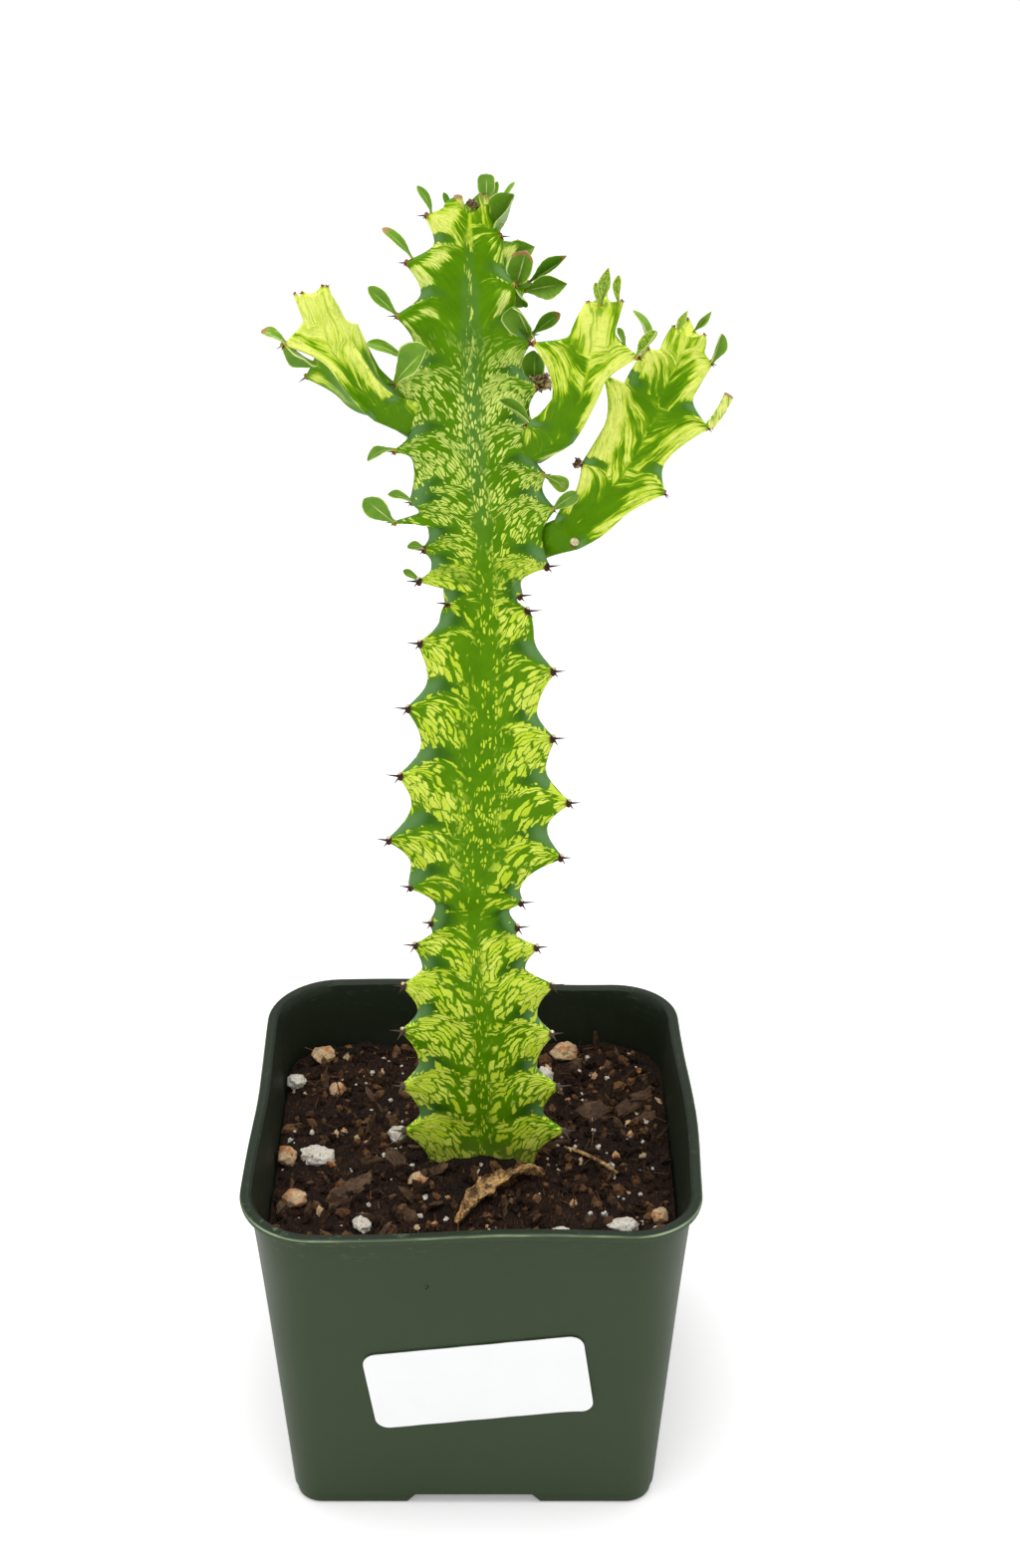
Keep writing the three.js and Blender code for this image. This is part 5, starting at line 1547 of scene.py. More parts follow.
def skin_material(name, cells, streaks, grain, width):
    """The stems' skin: pale streaks fanning down from each tooth, a green middle, dark tooth tops"""
    material, g, shader = new_material(
        name, Specular_IOR_Level=0.22, Specular_Tint=(0.6, 0.9, 0.2, 1), Subsurface_Weight=0.05,
        Subsurface_Radius=(0.5, 1.0, 0.1), Subsurface_Scale=MM,
    )
    place = g.place()
    level = g.split(place)[2]
    mask = {name: g.attribute(name) for name in SKIN_MASKS}
    uneven = g.minus(g.clouds(place, 0.075, 3, 0.55), 0.5)
    pale, chance, halo = skin_streaks(g, mask, level, uneven, cells, streaks, width)
    shades = g.clouds(place, 0.2, 2)
    colour = g.mix(pale, skin_green(g, mask, shades, halo), skin_yellow(g, mask, chance, place))
    old = g.fade(g.times_plus(uneven, 22.0, level), 102, 90)
    fibres = g.clouds(g.vector("MULTIPLY", place, (1.2, 1.2, 0.14)), 1.0, 3)
    corky = g.mix(fibres, tint(84, 76, 34), tint(140, 132, 70))
    colour = g.mix(g.times(old, 0.5), colour, corky)
    horn = g.mix(fibres, tint(48, 28, 16), tint(120, 74, 40))
    fresh = g.mix(fibres, tint(150, 92, 30), tint(190, 150, 60))
    horn = g.mix(g.fade(level, *FRESH), horn, fresh)
    tip_from, tip_to = g.fade(level, *FRESH, 0.35, 0.6), g.fade(level, *FRESH, 0.75, 1.0)
    colour = g.mix(g.fade(mask["tooth_tip"], tip_from, tip_to), colour, horn)
    height = use(g, grain, {"Vector": place, "Size": 0.5, "Pits": 0.2})["Height"]
    paint(g, shader, colour, g.times_plus(pale, 0.5, height), 0.35, 0.12)
    g.feed(shader["Roughness"], g.fade(shades, 0.3, 0.7, 0.32, 0.48))
    return material


def horn_material():
    material, g, shader = new_material("dark horn", Roughness=0.5, Specular_IOR_Level=0.25)
    place = g.place()
    level = g.split(place)[2]
    shades = g.clouds(place, 0.6, 3)
    horn = g.mix(shades, tint(26, 12, 8), tint(72, 36, 20))
    young = g.fade(level, *FRESH)
    fresh = g.mix(shades, tint(84, 46, 20), tint(176, 124, 62))
    horn = g.mix(g.times(young, g.attribute("pad")), horn, fresh)
    weathered = g.mix(shades, tint(104, 92, 80), tint(52, 38, 30))
    colour = g.mix(g.fade(level, 185, 115), horn, weathered)
    paint(g, shader, colour, shades, 0.5, 0.2)
    return material


def scar_material(grain):
    material, g, shader = new_material("white scar", Roughness=0.7, Specular_IOR_Level=0.2)
    place = g.place()
    shades = g.clouds(place, 1.2, 3)
    colour = g.mix(g.fade(shades, 0.35, 0.65), tint(196, 172, 122), tint(240, 234, 204))
    height = use(g, grain, {"Vector": place, "Size": 0.3, "Pits": 0.4})["Height"]
    paint(g, shader, colour, height, 0.6, 0.2)
    return material


def tip_material(grain):
    """The pale soft flesh of stubs, cut ends dried tan"""
    material, g, shader = new_material(
        "pale growing tip", Roughness=0.4, Specular_IOR_Level=0.3, Specular_Tint=(0.8, 1, 0.5, 1),
        Subsurface_Weight=0.1, Subsurface_Radius=(0.6, 1.0, 0.2), Subsurface_Scale=MM,
    )
    place = g.place()
    along = g.attribute("along")
    streaks = g.clouds(g.vector("MULTIPLY", place, (1.3, 1.3, 0.18)), 1.0, 2)
    fine = g.clouds(place, 1.4, 3)
    colour = g.mix(g.fade(streaks, 0.42, 0.56), tint(128, 172, 30), tint(236, 240, 132))
    dried = g.fade(g.times_plus(fine, 0.14, along), 1.0, 1.1)
    colour = g.mix(dried, colour, g.mix(fine, tint(120, 84, 50), tint(196, 158, 104)))
    height = use(g, grain, {"Vector": place, "Size": 0.4, "Pits": 0.2})["Height"]
    paint(g, shader, colour, g.plus(height, streaks), 0.4, 0.2)
    return material


def leaf_material(cells):
    """A soft green blade with a fine cream margin, a greyer underside and a brown foot"""
    material, g, shader = new_material(
        "leaf blade", Specular_IOR_Level=0.35, Specular_Tint=(0.8, 1, 0.6, 1),
        Subsurface_Weight=0.08, Subsurface_Radius=(0.5, 1.0, 0.1), Subsurface_Scale=MM,
    )
    place = g.place()
    across, along = g.attribute("across"), g.attribute("along")
    variety, under = g.attribute("variety"), g.attribute("underside")
    shades = g.clouds(place, 0.3, 3)
    fine = g.clouds(place, 2.0, 2)
    top = g.mix(shades, tint(70, 122, 16), tint(130, 172, 56))
    low = g.mix(shades, tint(98, 136, 58), tint(140, 170, 92))
    green = g.mix(g.times(under, 0.8), top, low)
    green = g.mix(g.fade(variety, 0.3, 0.9, 0.0, 0.3), green, tint(150, 186, 60))
    light = g.times(g.attribute("light"), g.fade(fine, 0.3, 0.7))
    green = g.mix(light, green, tint(196, 218, 84))
    flow = g.join(g.times(across, 5.0), g.times_plus(along, 9.0, variety))
    pale = use(g, cells, {
        "Vector": flow, "Width": 0.8, "Length": 2.4, "Line": 0.12, "Waver": 1.0,
        "Coverage": g.fade(variety, 0.55, 1.0, 0.0, 0.5),
    })["Pale"]
    cream = g.mix(fine, tint(206, 220, 120), tint(228, 236, 166))
    colour = g.mix(g.times(pale, 0.55), green, cream)
    margin = g.fade(g.times_plus(fine, 0.05, across), 0.9, 0.97)
    rib = g.times(g.fade(across, 0.08, 0.02), g.fade(along, 0.9, 0.5))
    colour = g.mix(g.times(g.math("MAXIMUM", margin, rib), 0.85), colour, cream)
    ragged = g.times_plus(g.minus(shades, 0.5), 0.3, along)
    browned = g.times(g.fade(ragged, 0.84, 0.93), g.attribute("burnt"))
    colour = g.mix(browned, colour, tint(176, 136, 84))
    colour = g.mix(g.fade(along, 0.2, 0.06), colour, tint(176, 168, 60))
    veins = g.math("SINE", g.times_plus(along, 60.0, g.times(across, -14.0)))
    paint(g, shader, colour, g.times_plus(veins, 0.35, fine), 0.3, 0.12)
    g.feed(shader["Roughness"], g.fade(shades, 0.3, 0.7, 0.26, 0.42))
    return material


def pot_material(grain, dust):
    material, g, shader = new_material("satin dark green plastic", Specular_IOR_Level=0.35)
    place = g.place()
    x, y, z = g.split(place)
    shades = g.clouds(place, 0.03, 3)
    green = g.mix(shades, tint(36, 53, 19), tint(44, 61, 27))
    nx, ny, nz = g.split(g.add("ShaderNodeNewGeometry").outputs["Normal"])
    # Painted shade: the inner walls, and faces turned up, are painted a darker green than the outside
    outward = g.plus(g.times(nx, x), g.times(ny, y))
    inside = g.fade(outward, -2.0, -14.0)
    inside = g.math("MAXIMUM", inside, g.fade(nz, 0.5, 0.95, 0.0, 0.9))
    green = g.mix(inside, green, g.mix(shades, tint(17, 27, 12), tint(24, 36, 19)))
    flow = g.clouds(g.vector("MULTIPLY", place, (0.25, 0.25, 2.5)), 0.2, 4)
    scuffs = g.clouds(g.vector("MULTIPLY", place, (0.5, 0.5, 3.0)), 0.5, 5, 0.7)
    scuffed = g.times(g.fade(scuffs, 0.56, 0.68), g.fade(z, 96, 109))
    left = g.times(g.fade(x, 5, -45), g.fade(y, -40, -62))
    worn = g.times(scuffed, g.times_plus(left, 0.5, 0.16))
    # Painted highlight: a paler green along the rim's outer edge
    edge = g.times(g.fade(nz, 0.1, 0.4), g.fade(nz, 0.95, 0.6))
    edge = g.times(edge, g.times(g.fade(outward, 2.0, 14.0), g.fade(z, 100, 106)))
    lip = g.times(edge, g.fade(flow, 0.4, 0.6, 0.3, 1.0))
    colour = g.mix(worn, green, g.mix(flow, tint(78, 100, 72), tint(132, 152, 120)))
    colour = g.mix(lip, colour, g.mix(flow, tint(104, 132, 92), tint(176, 194, 160)))
    dirt = use(g, dust, {"Vector": place, "Amount": 0.22, "Patch": 14.0})["Dust"]
    low_dirt = g.times(g.times(dirt, inside), g.fade(z, 106, 92))
    colour = g.mix(low_dirt, colour, tint(84, 74, 56))
    rough = g.fade(shades, 0.3, 0.7, 0.36, 0.46)
    rough = g.times_plus(inside, 0.2, rough)
    g.feed(shader["Roughness"], g.plus(rough, g.times(scuffed, 0.2)))
    height = use(g, grain, {"Vector": place, "Size": 0.45, "Pits": 0.1})["Height"]
    ripple = g.clouds(place, 0.025, 1)
    height = g.plus(g.times(height, 0.06), g.times(ripple, 2.5))
    paint(g, shader, colour, height, 0.5, 0.6)
    return material


def paper_material(grain):
    material, g, shader = new_material("white label paper", Roughness=0.55, Specular_IOR_Level=0.35)
    place = g.place()
    shades = g.clouds(place, 0.08, 3)
    colour = g.mix(shades, tint(248, 249, 250), tint(255, 255, 255))
    height = use(g, grain, {"Vector": place, "Size": 0.3, "Pits": 0.0})["Height"]
    buckle = g.clouds(place, 0.06, 1)
    paint(g, shader, colour, g.plus(g.times(height, 0.1), buckle), 0.3, 0.5)
    return material


def peat_material(name, grain, low, high, warm):
    material, g, shader = new_material(name, Roughness=0.9, Specular_IOR_Level=0.25)
    place = g.place()
    broad = g.clouds(place, 0.09, 3)
    fine = g.clouds(place, 1.1, 4, 0.65)
    fibres = g.clouds(g.vector("MULTIPLY", place, (2.2, 0.35, 1.0)), 0.9, 3, 0.6)
    colour = g.mix(g.fade(fine, 0.32, 0.7), low, high)
    colour = g.mix(g.times(g.fade(fibres, 0.55, 0.75), 0.6), colour, warm)
    colour = g.mix(g.fade(broad, 0.4, 0.65, 0.5, 0.0), colour, tint(14, 8, 5))
    lighter = g.fade(g.attribute("shade"), 0.55, 1.0, 0.0, 0.75)
    colour = g.mix(lighter, colour, g.mix(fibres, warm, tint(150, 112, 76)))
    height = use(g, grain, {"Vector": place, "Size": 0.8, "Pits": 0.6})["Height"]
    paint(g, shader, colour, g.plus(height, fibres), 0.9, 0.9)
    return material


def mineral_material(name, grain, pale, shade, stain, stained):
    material, g, shader = new_material(
        name, Roughness=0.75, Specular_IOR_Level=0.3, Subsurface_Weight=0.06,
        Subsurface_Radius=(1.0, 0.9, 0.8), Subsurface_Scale=MM,
    )
    place = g.place()
    shades = g.clouds(place, 0.5, 3)
    colour = g.mix(shades, shade, pale)
    rusty = g.clouds(place, 0.28, 4, 0.6)
    colour = g.mix(g.fade(rusty, 0.5, 0.62, 0.0, stained), colour, stain)
    pores = g.cells(place, 1.5)["Distance"]
    holes = g.fade(pores, 0.12, 0.3, 1.0, 0.0)
    colour = g.mix(g.times(holes, 0.55), colour, tint(116, 92, 70))
    crumbs = g.clouds(place, 0.85, 3, 0.7)
    colour = g.mix(g.fade(crumbs, 0.62, 0.68, 0.0, 0.8), colour, tint(70, 46, 30))
    height = use(g, grain, {"Vector": place, "Size": 0.6, "Pits": 0.5})["Height"]
    paint(g, shader, colour, g.minus(height, g.times(holes, 1.2)), 0.8, 0.5)
    return material


def bark_material():
    material, g, shader = new_material("damp bark", Roughness=0.78, Specular_IOR_Level=0.3)
    place = g.place()
    along = g.scale(g.uv("fibre"), 100)
    streaks = g.clouds(g.vector("MULTIPLY", along, (0.3, 3.0, 1.0)), 1.0, 4, 0.6)
    shades = g.clouds(place, 0.3, 3)
    colour = g.mix(g.fade(streaks, 0.35, 0.65), tint(30, 19, 13), tint(104, 76, 54))
    colour = g.mix(g.fade(shades, 0.5, 0.7, 0.0, 0.5), colour, tint(124, 94, 68))
    specks = g.clouds(place, 1.4, 3, 0.7)
    colour = g.mix(g.fade(specks, 0.55, 0.7, 0.0, 0.8), colour, tint(18, 11, 8))
    paint(g, shader, colour, g.plus(streaks, shades), 0.9, 0.8)
    return material


def dry_material(name, low, high):
    material, g, shader = new_material(name, Roughness=0.7)
    place = g.place()
    streaks = g.clouds(g.vector("MULTIPLY", place, (0.5, 1.4, 1.0)), 1.2, 4, 0.6)
    blotches = g.clouds(place, 0.3, 4, 0.6)
    colour = g.mix(g.fade(streaks, 0.35, 0.65), low, high)
    colour = g.mix(g.fade(blotches, 0.46, 0.6, 0.0, 0.85), colour, tint(70, 42, 22))
    paint(g, shader, colour, streaks, 0.7, 0.5)
    return material


# Soil and what lies on it

def soil_top(x, y):
    far = np.hypot(x - MOUND_MIDDLE[0], y - MOUND_MIDDLE[1])
    mound = MOUND * np.exp(-(far / MOUND_REACH) ** 4)
    broad = mound + 0.8 * np.sin(0.19 * x + 0.6) * np.cos(0.16 * y - 0.4)
    fine = 0.65 * np.sin(0.47 * x - 0.31 * y + 1.1) * np.cos(0.22 * x + 0.53 * y)
    return SOIL_LEVEL + broad + fine


SOIL_AROUND = 260
SOIL_OUTWARD = 74


def make_soil(stem, material):
    directions = row_directions(stem["axis"])
    foot = np.array(stem_ring(stem, 0, 0, directions))
    middle = foot[:, :2].mean(axis=0)
    bearing = np.arctan2(foot[:, 1] - middle[1], foot[:, 0] - middle[0])
    far = np.linalg.norm(foot[:, :2] - middle, axis=1)
    angles = np.linspace(-math.pi, math.pi, SOIL_AROUND, endpoint=False)
    order = np.argsort(bearing)
    hole = np.interp(angles, bearing[order], far[order], period=2 * math.pi) + HOLE_CLEARANCE
    top_half = wall_half(SOIL_LEVEL) - WALL - SOIL_GAP
    corner = wall_corner(SOIL_LEVEL) - WALL
    wall = ray_to_square(middle, angles, top_half, corner)
    rows = []
    for share in np.linspace(0, 1, SOIL_OUTWARD) ** 0.9:
        reach = hole + (wall - hole) * share
        x = middle[0] + reach * np.cos(angles)
        y = middle[1] + reach * np.sin(angles)
        at_edge = smooth_step(0.9, 1, share)
        z = soil_top(x, y) * (1 - at_edge) + SOIL_EDGE * at_edge
        rows.append(np.column_stack([x, y, z]))
    top = np.concatenate(rows)
    crumbly = 1.1 * lumps(top, 9, 11, 4) + 0.7 * lumps(top, 2.6, 5, 3)
    top[:, 2] += crumbly + 0.15
    rows = list(top.reshape(SOIL_OUTWARD, SOIL_AROUND, 3))
    shrink = (wall_half(SOIL_FOOT) - WALL - SOIL_GAP) / top_half
    under = np.column_stack([rows[-1][:, :2] * shrink, np.full(SOIL_AROUND, SOIL_FOOT)])
    inner = rows[0].copy()
    inner[:, 2] = HOLE_BOTTOM
    ends = [[middle[0], middle[1], HOLE_BOTTOM], [0, 0, SOIL_FOOT]]
    points = np.concatenate([inner] + rows + [under, ends])
    faces = ring_faces(SOIL_OUTWARD + 2, SOIL_AROUND, len(points) - 2, len(points) - 1)
    soil = new_piece("peat", points, faces, material)
    dress(soil, "peat_soil", "soil")
    return rows


def ray_to_square(middle, angles, half, corner):
    """How far it is from a point to a rounded square round the origin, along each angle"""
    reaches = []
    for angle in angles:
        low, high = 0.0, 2.0 * half
        way = np.array([math.cos(angle), math.sin(angle)])
        for _ in range(30):
            reach = (low + high) / 2
            at = np.abs(middle + way * reach)
            over = np.maximum(at - (half - corner), 0)
            if np.linalg.norm(over) > corner:
                high = reach
            else:
                low = reach
        reaches.append(low)
    return np.array(reaches)


def grow(piece, tree, values):
    """Gives a piece a Geometry Nodes tree with its named inputs set"""
    modifier = piece.modifiers.new(tree.name, "NODES")
    modifier.node_group = tree
    for item in tree.interface.items_tree:
        if item.item_type == "SOCKET" and item.in_out == "INPUT" and item.name in values:
            modifier[item.identifier] = values[item.name]


def spine_tree():
    """A pair of tapered spines at each point, spread to both sides of its rib"""
    tree, g, given, result = new_tree("paired spines", [
        ("Length", FLOAT, 3.9 * MM), ("Thickness", FLOAT, 0.42 * MM), ("Spread", FLOAT, 42.0),
        ("Rise", FLOAT, -0.08), ("Material", MATERIAL, None),
    ])
    outward, upward = g.stored("outward", "FLOAT_VECTOR"), g.stored("upward", "FLOAT_VECTOR")
    sideways = g.vector("CROSS_PRODUCT", upward, outward)
    size = g.times(g.stored("size"), g.math("LESS_THAN", g.stored("scarred"), 1.5))
    size = g.scale(g.join(1.0, 1.0, g.random(0.8, 1.15, 4)), size)
    angle = g.math("RADIANS", given["Spread"])
    leaning = g.vector("ADD", outward, g.scale(upward, given["Rise"]))
    leaning = g.scale(leaning, g.math("COSINE", angle))
    cone = g.add("GeometryNodeMeshCone", {
        "Vertices": 7, "Side Segments": 3, "Radius Top": g.times(given["Thickness"], 0.08),
        "Radius Bottom": given["Thickness"], "Depth": given["Length"],
    }).outputs["Mesh"]
    together = g.add("GeometryNodeJoinGeometry")
    for side in (-1, 1):
        aside = g.scale(sideways, g.times(g.math("SINE", angle), side))
        inputs = {"Vector": g.vector("ADD", leaning, aside)}
        turn = g.add("FunctionNodeAlignRotationToVector", inputs, axis="Z").outputs[0]
        g.feed(together.inputs[0], g.instances(given["Geometry"], cone, turn, size))
    g.feed(result["Geometry"], g.clad(g.realize(together.outputs[0]), given["Material"]))
    return tree


def pad_tree():
    """A horny cushion at each point, with the round white scar of a fallen leaf on top of it"""
    tree, g, given, result = new_tree("horny pads", [
        ("Radius", FLOAT, 1.15 * MM), ("Scar", FLOAT, 0.62 * MM), ("Material", MATERIAL, None),
        ("Scar Material", MATERIAL, None),
    ])
    outward, upward = g.stored("outward", "FLOAT_VECTOR"), g.stored("upward", "FLOAT_VECTOR")
    turn = g.add("FunctionNodeAlignRotationToVector", {"Vector": outward}, axis="Z").outputs[0]
    inputs = {"Rotation": turn, "Vector": upward}
    turn = g.add("FunctionNodeAlignRotationToVector", inputs, axis="Y", pivot_axis="Z").outputs[0]
    above = g.vector("ADD", upward, g.scale(outward, 0.12))
    above = g.scale(above, g.times(given["Radius"], 0.8))
    shapes = [
        ("Radius", (0.9, 1.2, 0.7), "Material", (0.0, 0.0, 0.0), g.stored("size")),
        ("Scar", (1.0, 0.8, 1.0), "Scar Material", above, g.stored("scarred")),
    ]
    together = g.add("GeometryNodeJoinGeometry")
    for radius, stretch, material, offset, size in shapes:
        inputs = {"Radius": given[radius], "Subdivisions": 2}
        ball = g.add("GeometryNodeMeshIcoSphere", inputs).outputs["Mesh"]
        inputs = {"Geometry": given["Geometry"], "Offset": offset}
        points = g.add("GeometryNodeSetPosition", inputs).outputs[0]
        balls = g.instances(points, ball, turn, g.scale(g.join(*stretch), size))
        g.feed(together.inputs[0], g.clad(g.realize(balls), given[material]))
    smooth = g.add("GeometryNodeSetShadeSmooth", {"Geometry": together.outputs[0]}).outputs[0]
    g.feed(result["Geometry"], smooth)
    return tree


LUMP_SUNK = 0.9
LUMP_CUTS = 14


def lump_from_box(name, node, material, slot_name, seed, rough):
    """A rough lump that fills a node's box"""
    low, high = (np.array(corner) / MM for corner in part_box(node))
    low[2] -= LUMP_SUNK
    mesh = bmesh.new()
    bmesh.ops.create_icosphere(mesh, subdivisions=4, radius=1)
    points = np.array([v.co for v in mesh.verts])
    faces = [tuple(v.index for v in f.verts) for f in mesh.faces]
    mesh.free()
    cuts = np.random.default_rng(seed)
    for _ in range(LUMP_CUTS):
        way = unit(cuts.normal(size=3))
        level = cuts.uniform(0.66, 0.9)
        over = points @ way - level
        points -= np.clip(over, 0, None)[:, None] * way * 0.85
    points *= 1 + rough * lumps(points, 0.45, seed, 4)[:, None]
    points -= points.min(axis=0)
    points /= points.max(axis=0)
    piece = new_piece(name, low + points * (high - low), faces, material)
    return dress(piece, slot_name, node)


def smooth_path(path, steps):
    """Points and directions along a smooth curve through evenly spaced points, and their places"""
    path = np.array(path, float)
    places = np.linspace(0, len(path) - 1, steps + 1)
    i = np.clip(places.astype(int), 0, len(path) - 2)
    t = (places - i)[:, None]
    padded = np.concatenate([[2 * path[0] - path[1]], path, [2 * path[-1] - path[-2]]])
    p0, p1, p2, p3 = padded[i], padded[i + 1], padded[i + 2], padded[i + 3]
    curve = 0.5 * (
        2 * p1 + (p2 - p0) * t + (2 * p0 - 5 * p1 + 4 * p2 - p3) * t**2
        + (3 * p1 - p0 - 3 * p2 + p3) * t**3
    )
    return curve, unit(np.gradient(curve, axis=0)), places


ROD_RINGS = 6
ROD_TWIST = 0.25


def rod(name, path, radii, sides, material, slot_name, node):
    """A rod along a smooth path of points in millimetres, rough and closed at both ends"""
    curve, ways, places = smooth_path(path, (len(path) - 1) * ROD_RINGS)
    radius = np.interp(places, np.arange(len(path)), radii)
    up = np.array([0, 0, 1.0]) if abs(ways[0][2]) < 0.8 else np.array([1.0, 0, 0])
    rings = []
    for i, (centre, way) in enumerate(zip(curve, ways)):
        side = unit(np.cross(way, up))
        lift = np.cross(side, way)
        ring = []
        for k in range(sides):
            angle = 2 * math.pi * k / sides + ROD_TWIST * i / ROD_RINGS
            cosine, sine = math.cos(angle), math.sin(angle)
            reach = radius[i] * (1 + 0.18 * noise.noise(Vector((i * 0.4 + 1, cosine, sine))))
            ring.append(centre + reach * (cosine * side + sine * lift))
        rings.append(np.array(ring))
    points = np.concatenate(rings + [[curve[0], curve[-1]]])
    faces = ring_faces(len(rings), sides, len(points) - 2, len(points) - 1)
    piece = new_piece(name, points, faces, material)
    corners = corner_points(piece.data)
    ring_index = np.minimum(corners // sides, len(rings) - 1)
    fibre = np.stack([ring_index * 0.006, (corners % sides) * 0.012], axis=1)
    corner_map(piece.data, "fibre", fibre)
    return dress(piece, slot_name, node)


def turn_pair(first, second, angle):
    """Two coordinates turned in their plane"""
    cosine, sine = math.cos(angle), math.sin(angle)
    return first * cosine - second * sine, first * sine + second * cosine


CHIP_OUTLINE = [(-0.5, -0.3), (-0.1, -0.5), (0.42, -0.38), (0.5, 0.16), (0.2, 0.5), (-0.34, 0.4)]
# Place, length, width and turn of each chip
CHIPS = {
    "bark_chip_behind": (36, 22, 11, 9, 50), "bark_chip_right": (49, 24.5, 17, 6, 48),
    "bark_chip_front": (-37, -20, 20, 6.5, 50), "bark_chip_left": (-23.4, -6.4, 10, 6, 118),
}
CHIP_THICK = 2.2
CHIP_SLOPE = 7
CHIP_SUNK = 0.2
CHIP_STEPS = (26, 10)


def make_chip(node, material, seed):
    """A torn flat chip of bark with splintered ends"""
    x, y, length, width, turn = CHIPS[node]
    long_steps, wide_steps = CHIP_STEPS
    splinter = np.random.default_rng(seed).uniform(-0.06, 0.06, wide_steps + 1)
    points = []
    for lift in (0, 1):
        for u in -0.5 + np.arange(long_steps + 1) / long_steps:
            low_v, high_v = chip_edges(np.array(CHIP_OUTLINE), np.clip(u, -0.49, 0.49))
            for j in range(wide_steps + 1):
                share = j / wide_steps
                v = low_v + (high_v - low_v) * share
                ragged = splinter[j] * (abs(u) * 2) ** 4
                ridge = 0.25 * noise.noise(Vector((u * 3 + seed, v * 9, lift))) * (1 if lift else 0.4)
                edge = 1 - 0.35 * (abs(2 * share - 1) ** 4)
                z = lift * CHIP_THICK * edge + ridge * 1.2 - (0 if lift else 0.1)
                points.append(((u + ragged) * length, v * width, z))
    points = np.array(points)
    flat = points[:, :2]
    tilted, up = turn_pair(points[:, 1], points[:, 2], math.radians(CHIP_SLOPE))
    turned = turn_pair(points[:, 0], tilted, math.radians(turn))
    up = up + (float(soil_top(x, y)) - CHIP_SUNK)
    points = np.column_stack([turned[0] + x, turned[1] + y, up])
    piece = new_piece(node + "_piece", points, sheet_faces(long_steps, wide_steps), material)
    corner_map(piece.data, "fibre", flat[corner_points(piece.data)] / 100)
    mark_sharp_edges(piece, 50)
    return dress(piece, "bark", node)


def chip_edges(corners, u):
    """The lowest and highest place across a chip's outline, at a place along it"""
    crossings = []
    for (u0, v0), (u1, v1) in zip(corners, np.roll(corners, -1, axis=0)):
        if (u0 - u) * (u1 - u) <= 0 and u0 != u1:
            crossings.append(v0 + (v1 - v0) * (u - u0) / (u1 - u0))
    return min(crossings), max(crossings)


DRY_LEAF_PATH = [
    (-4.5, -34.5, 1.2), (0.5, -27.5, 2.4), (7.5, -20.5, 3.3), (14.5, -16, 2.8), (21, -13.5, 1.4),
]
DRY_LEAF_WIDTH = 5.6
DRY_LEAF_THICK = 0.5
DRY_LEAF_STEPS = (44, 14)
STRAW_PATH = [(27.5, 1.5, 1), (33, -2, 2.1), (38.5, -7, 2), (43, -11, 1.1)]
STRAW_RADIUS = 0.6
TWIG_FOOT = (39, 55)
TWIG_LEAN = (-0.6, 0.4, 8)
TWIG_RADIUS = 1
TWIG_SUNK = 1


def over_soil(path):
    return [(x, y, float(soil_top(x, y)) + up) for x, y, up in path]


def make_dry_leaf(material):
    """A shrivelled leaf, its edges curled up and its surface crumpled"""
    long_steps, wide_steps = DRY_LEAF_STEPS
    curve, ways, _ = smooth_path(over_soil(DRY_LEAF_PATH), long_steps)
    top, low = [], []
    for i, (centre, way) in enumerate(zip(curve, ways)):
        share = i / long_steps
        side = unit(np.cross(way, (0, 0, 1.0)))
        lift = np.cross(side, way)
        broad = 0.2 + 0.8 * math.sin(math.pi * min(share * 0.96 + 0.04, 1)) ** 0.7
        half = DRY_LEAF_WIDTH / 2 * broad
        for j in range(wide_steps + 1):
            across = 2 * j / wide_steps - 1
            ragged = 1 + 0.45 * noise.noise(Vector((share * 14, across * 3, 7)))
            curl = 1.5 * half * abs(across) ** 1.5 * (0.6 + 0.4 * math.sin(share * 9 + across))
            crumple = 1.3 * noise.noise(Vector((share * 15, across * 2.2, 2)))
            crumple += 0.5 * noise.noise(Vector((share * 40, across * 5, 9)))
            aside = side * across * half * ragged * (1 - 0.18 * abs(across) ** 3)
            at = centre + aside + lift * (curl + crumple)
            top.append(at + lift * DRY_LEAF_THICK / 2)
            low.append(at - lift * DRY_LEAF_THICK / 2)
    faces = sheet_faces(long_steps, wide_steps)
    piece = new_piece("shrivelled_leaf", low + top, faces, material)
    fix_outward(piece)
    return dress(piece, "dried_leaf", "dry_leaf")


def fix_outward(piece):
    """The piece with all its faces turned outwards"""
    mesh = bmesh.new()
    mesh.from_mesh(piece.data)
    bmesh.ops.recalc_face_normals(mesh, faces=mesh.faces)
    mesh.to_mesh(piece.data)
    mesh.free()


FULL_TURN = 6.28
FIBRE_TILT = 0.35


def scattered(g, given, shape, turn, scale):
    """The shape at chance places on the bed, made real, each with its own chance value as shade"""
    inputs = {"Mesh": given["Geometry"], "Density": given["Density"], "Seed": given["Seed"]}
    points = g.add("GeometryNodeDistributePointsOnFaces", inputs).outputs["Points"]
    turn = g.add("FunctionNodeEulerToRotation", {0: turn}).outputs[0]
    inputs = {
        "Geometry": g.instances(points, shape, turn, scale), "Name": "shade",
        "Value": g.random(0.0, 1.0, g.plus(given["Seed"], 1.0)),
    }
    shaded = g.add("GeometryNodeStoreNamedAttribute", inputs, data_type="FLOAT", domain="INSTANCE")
    return g.realize(shaded.outputs[0])


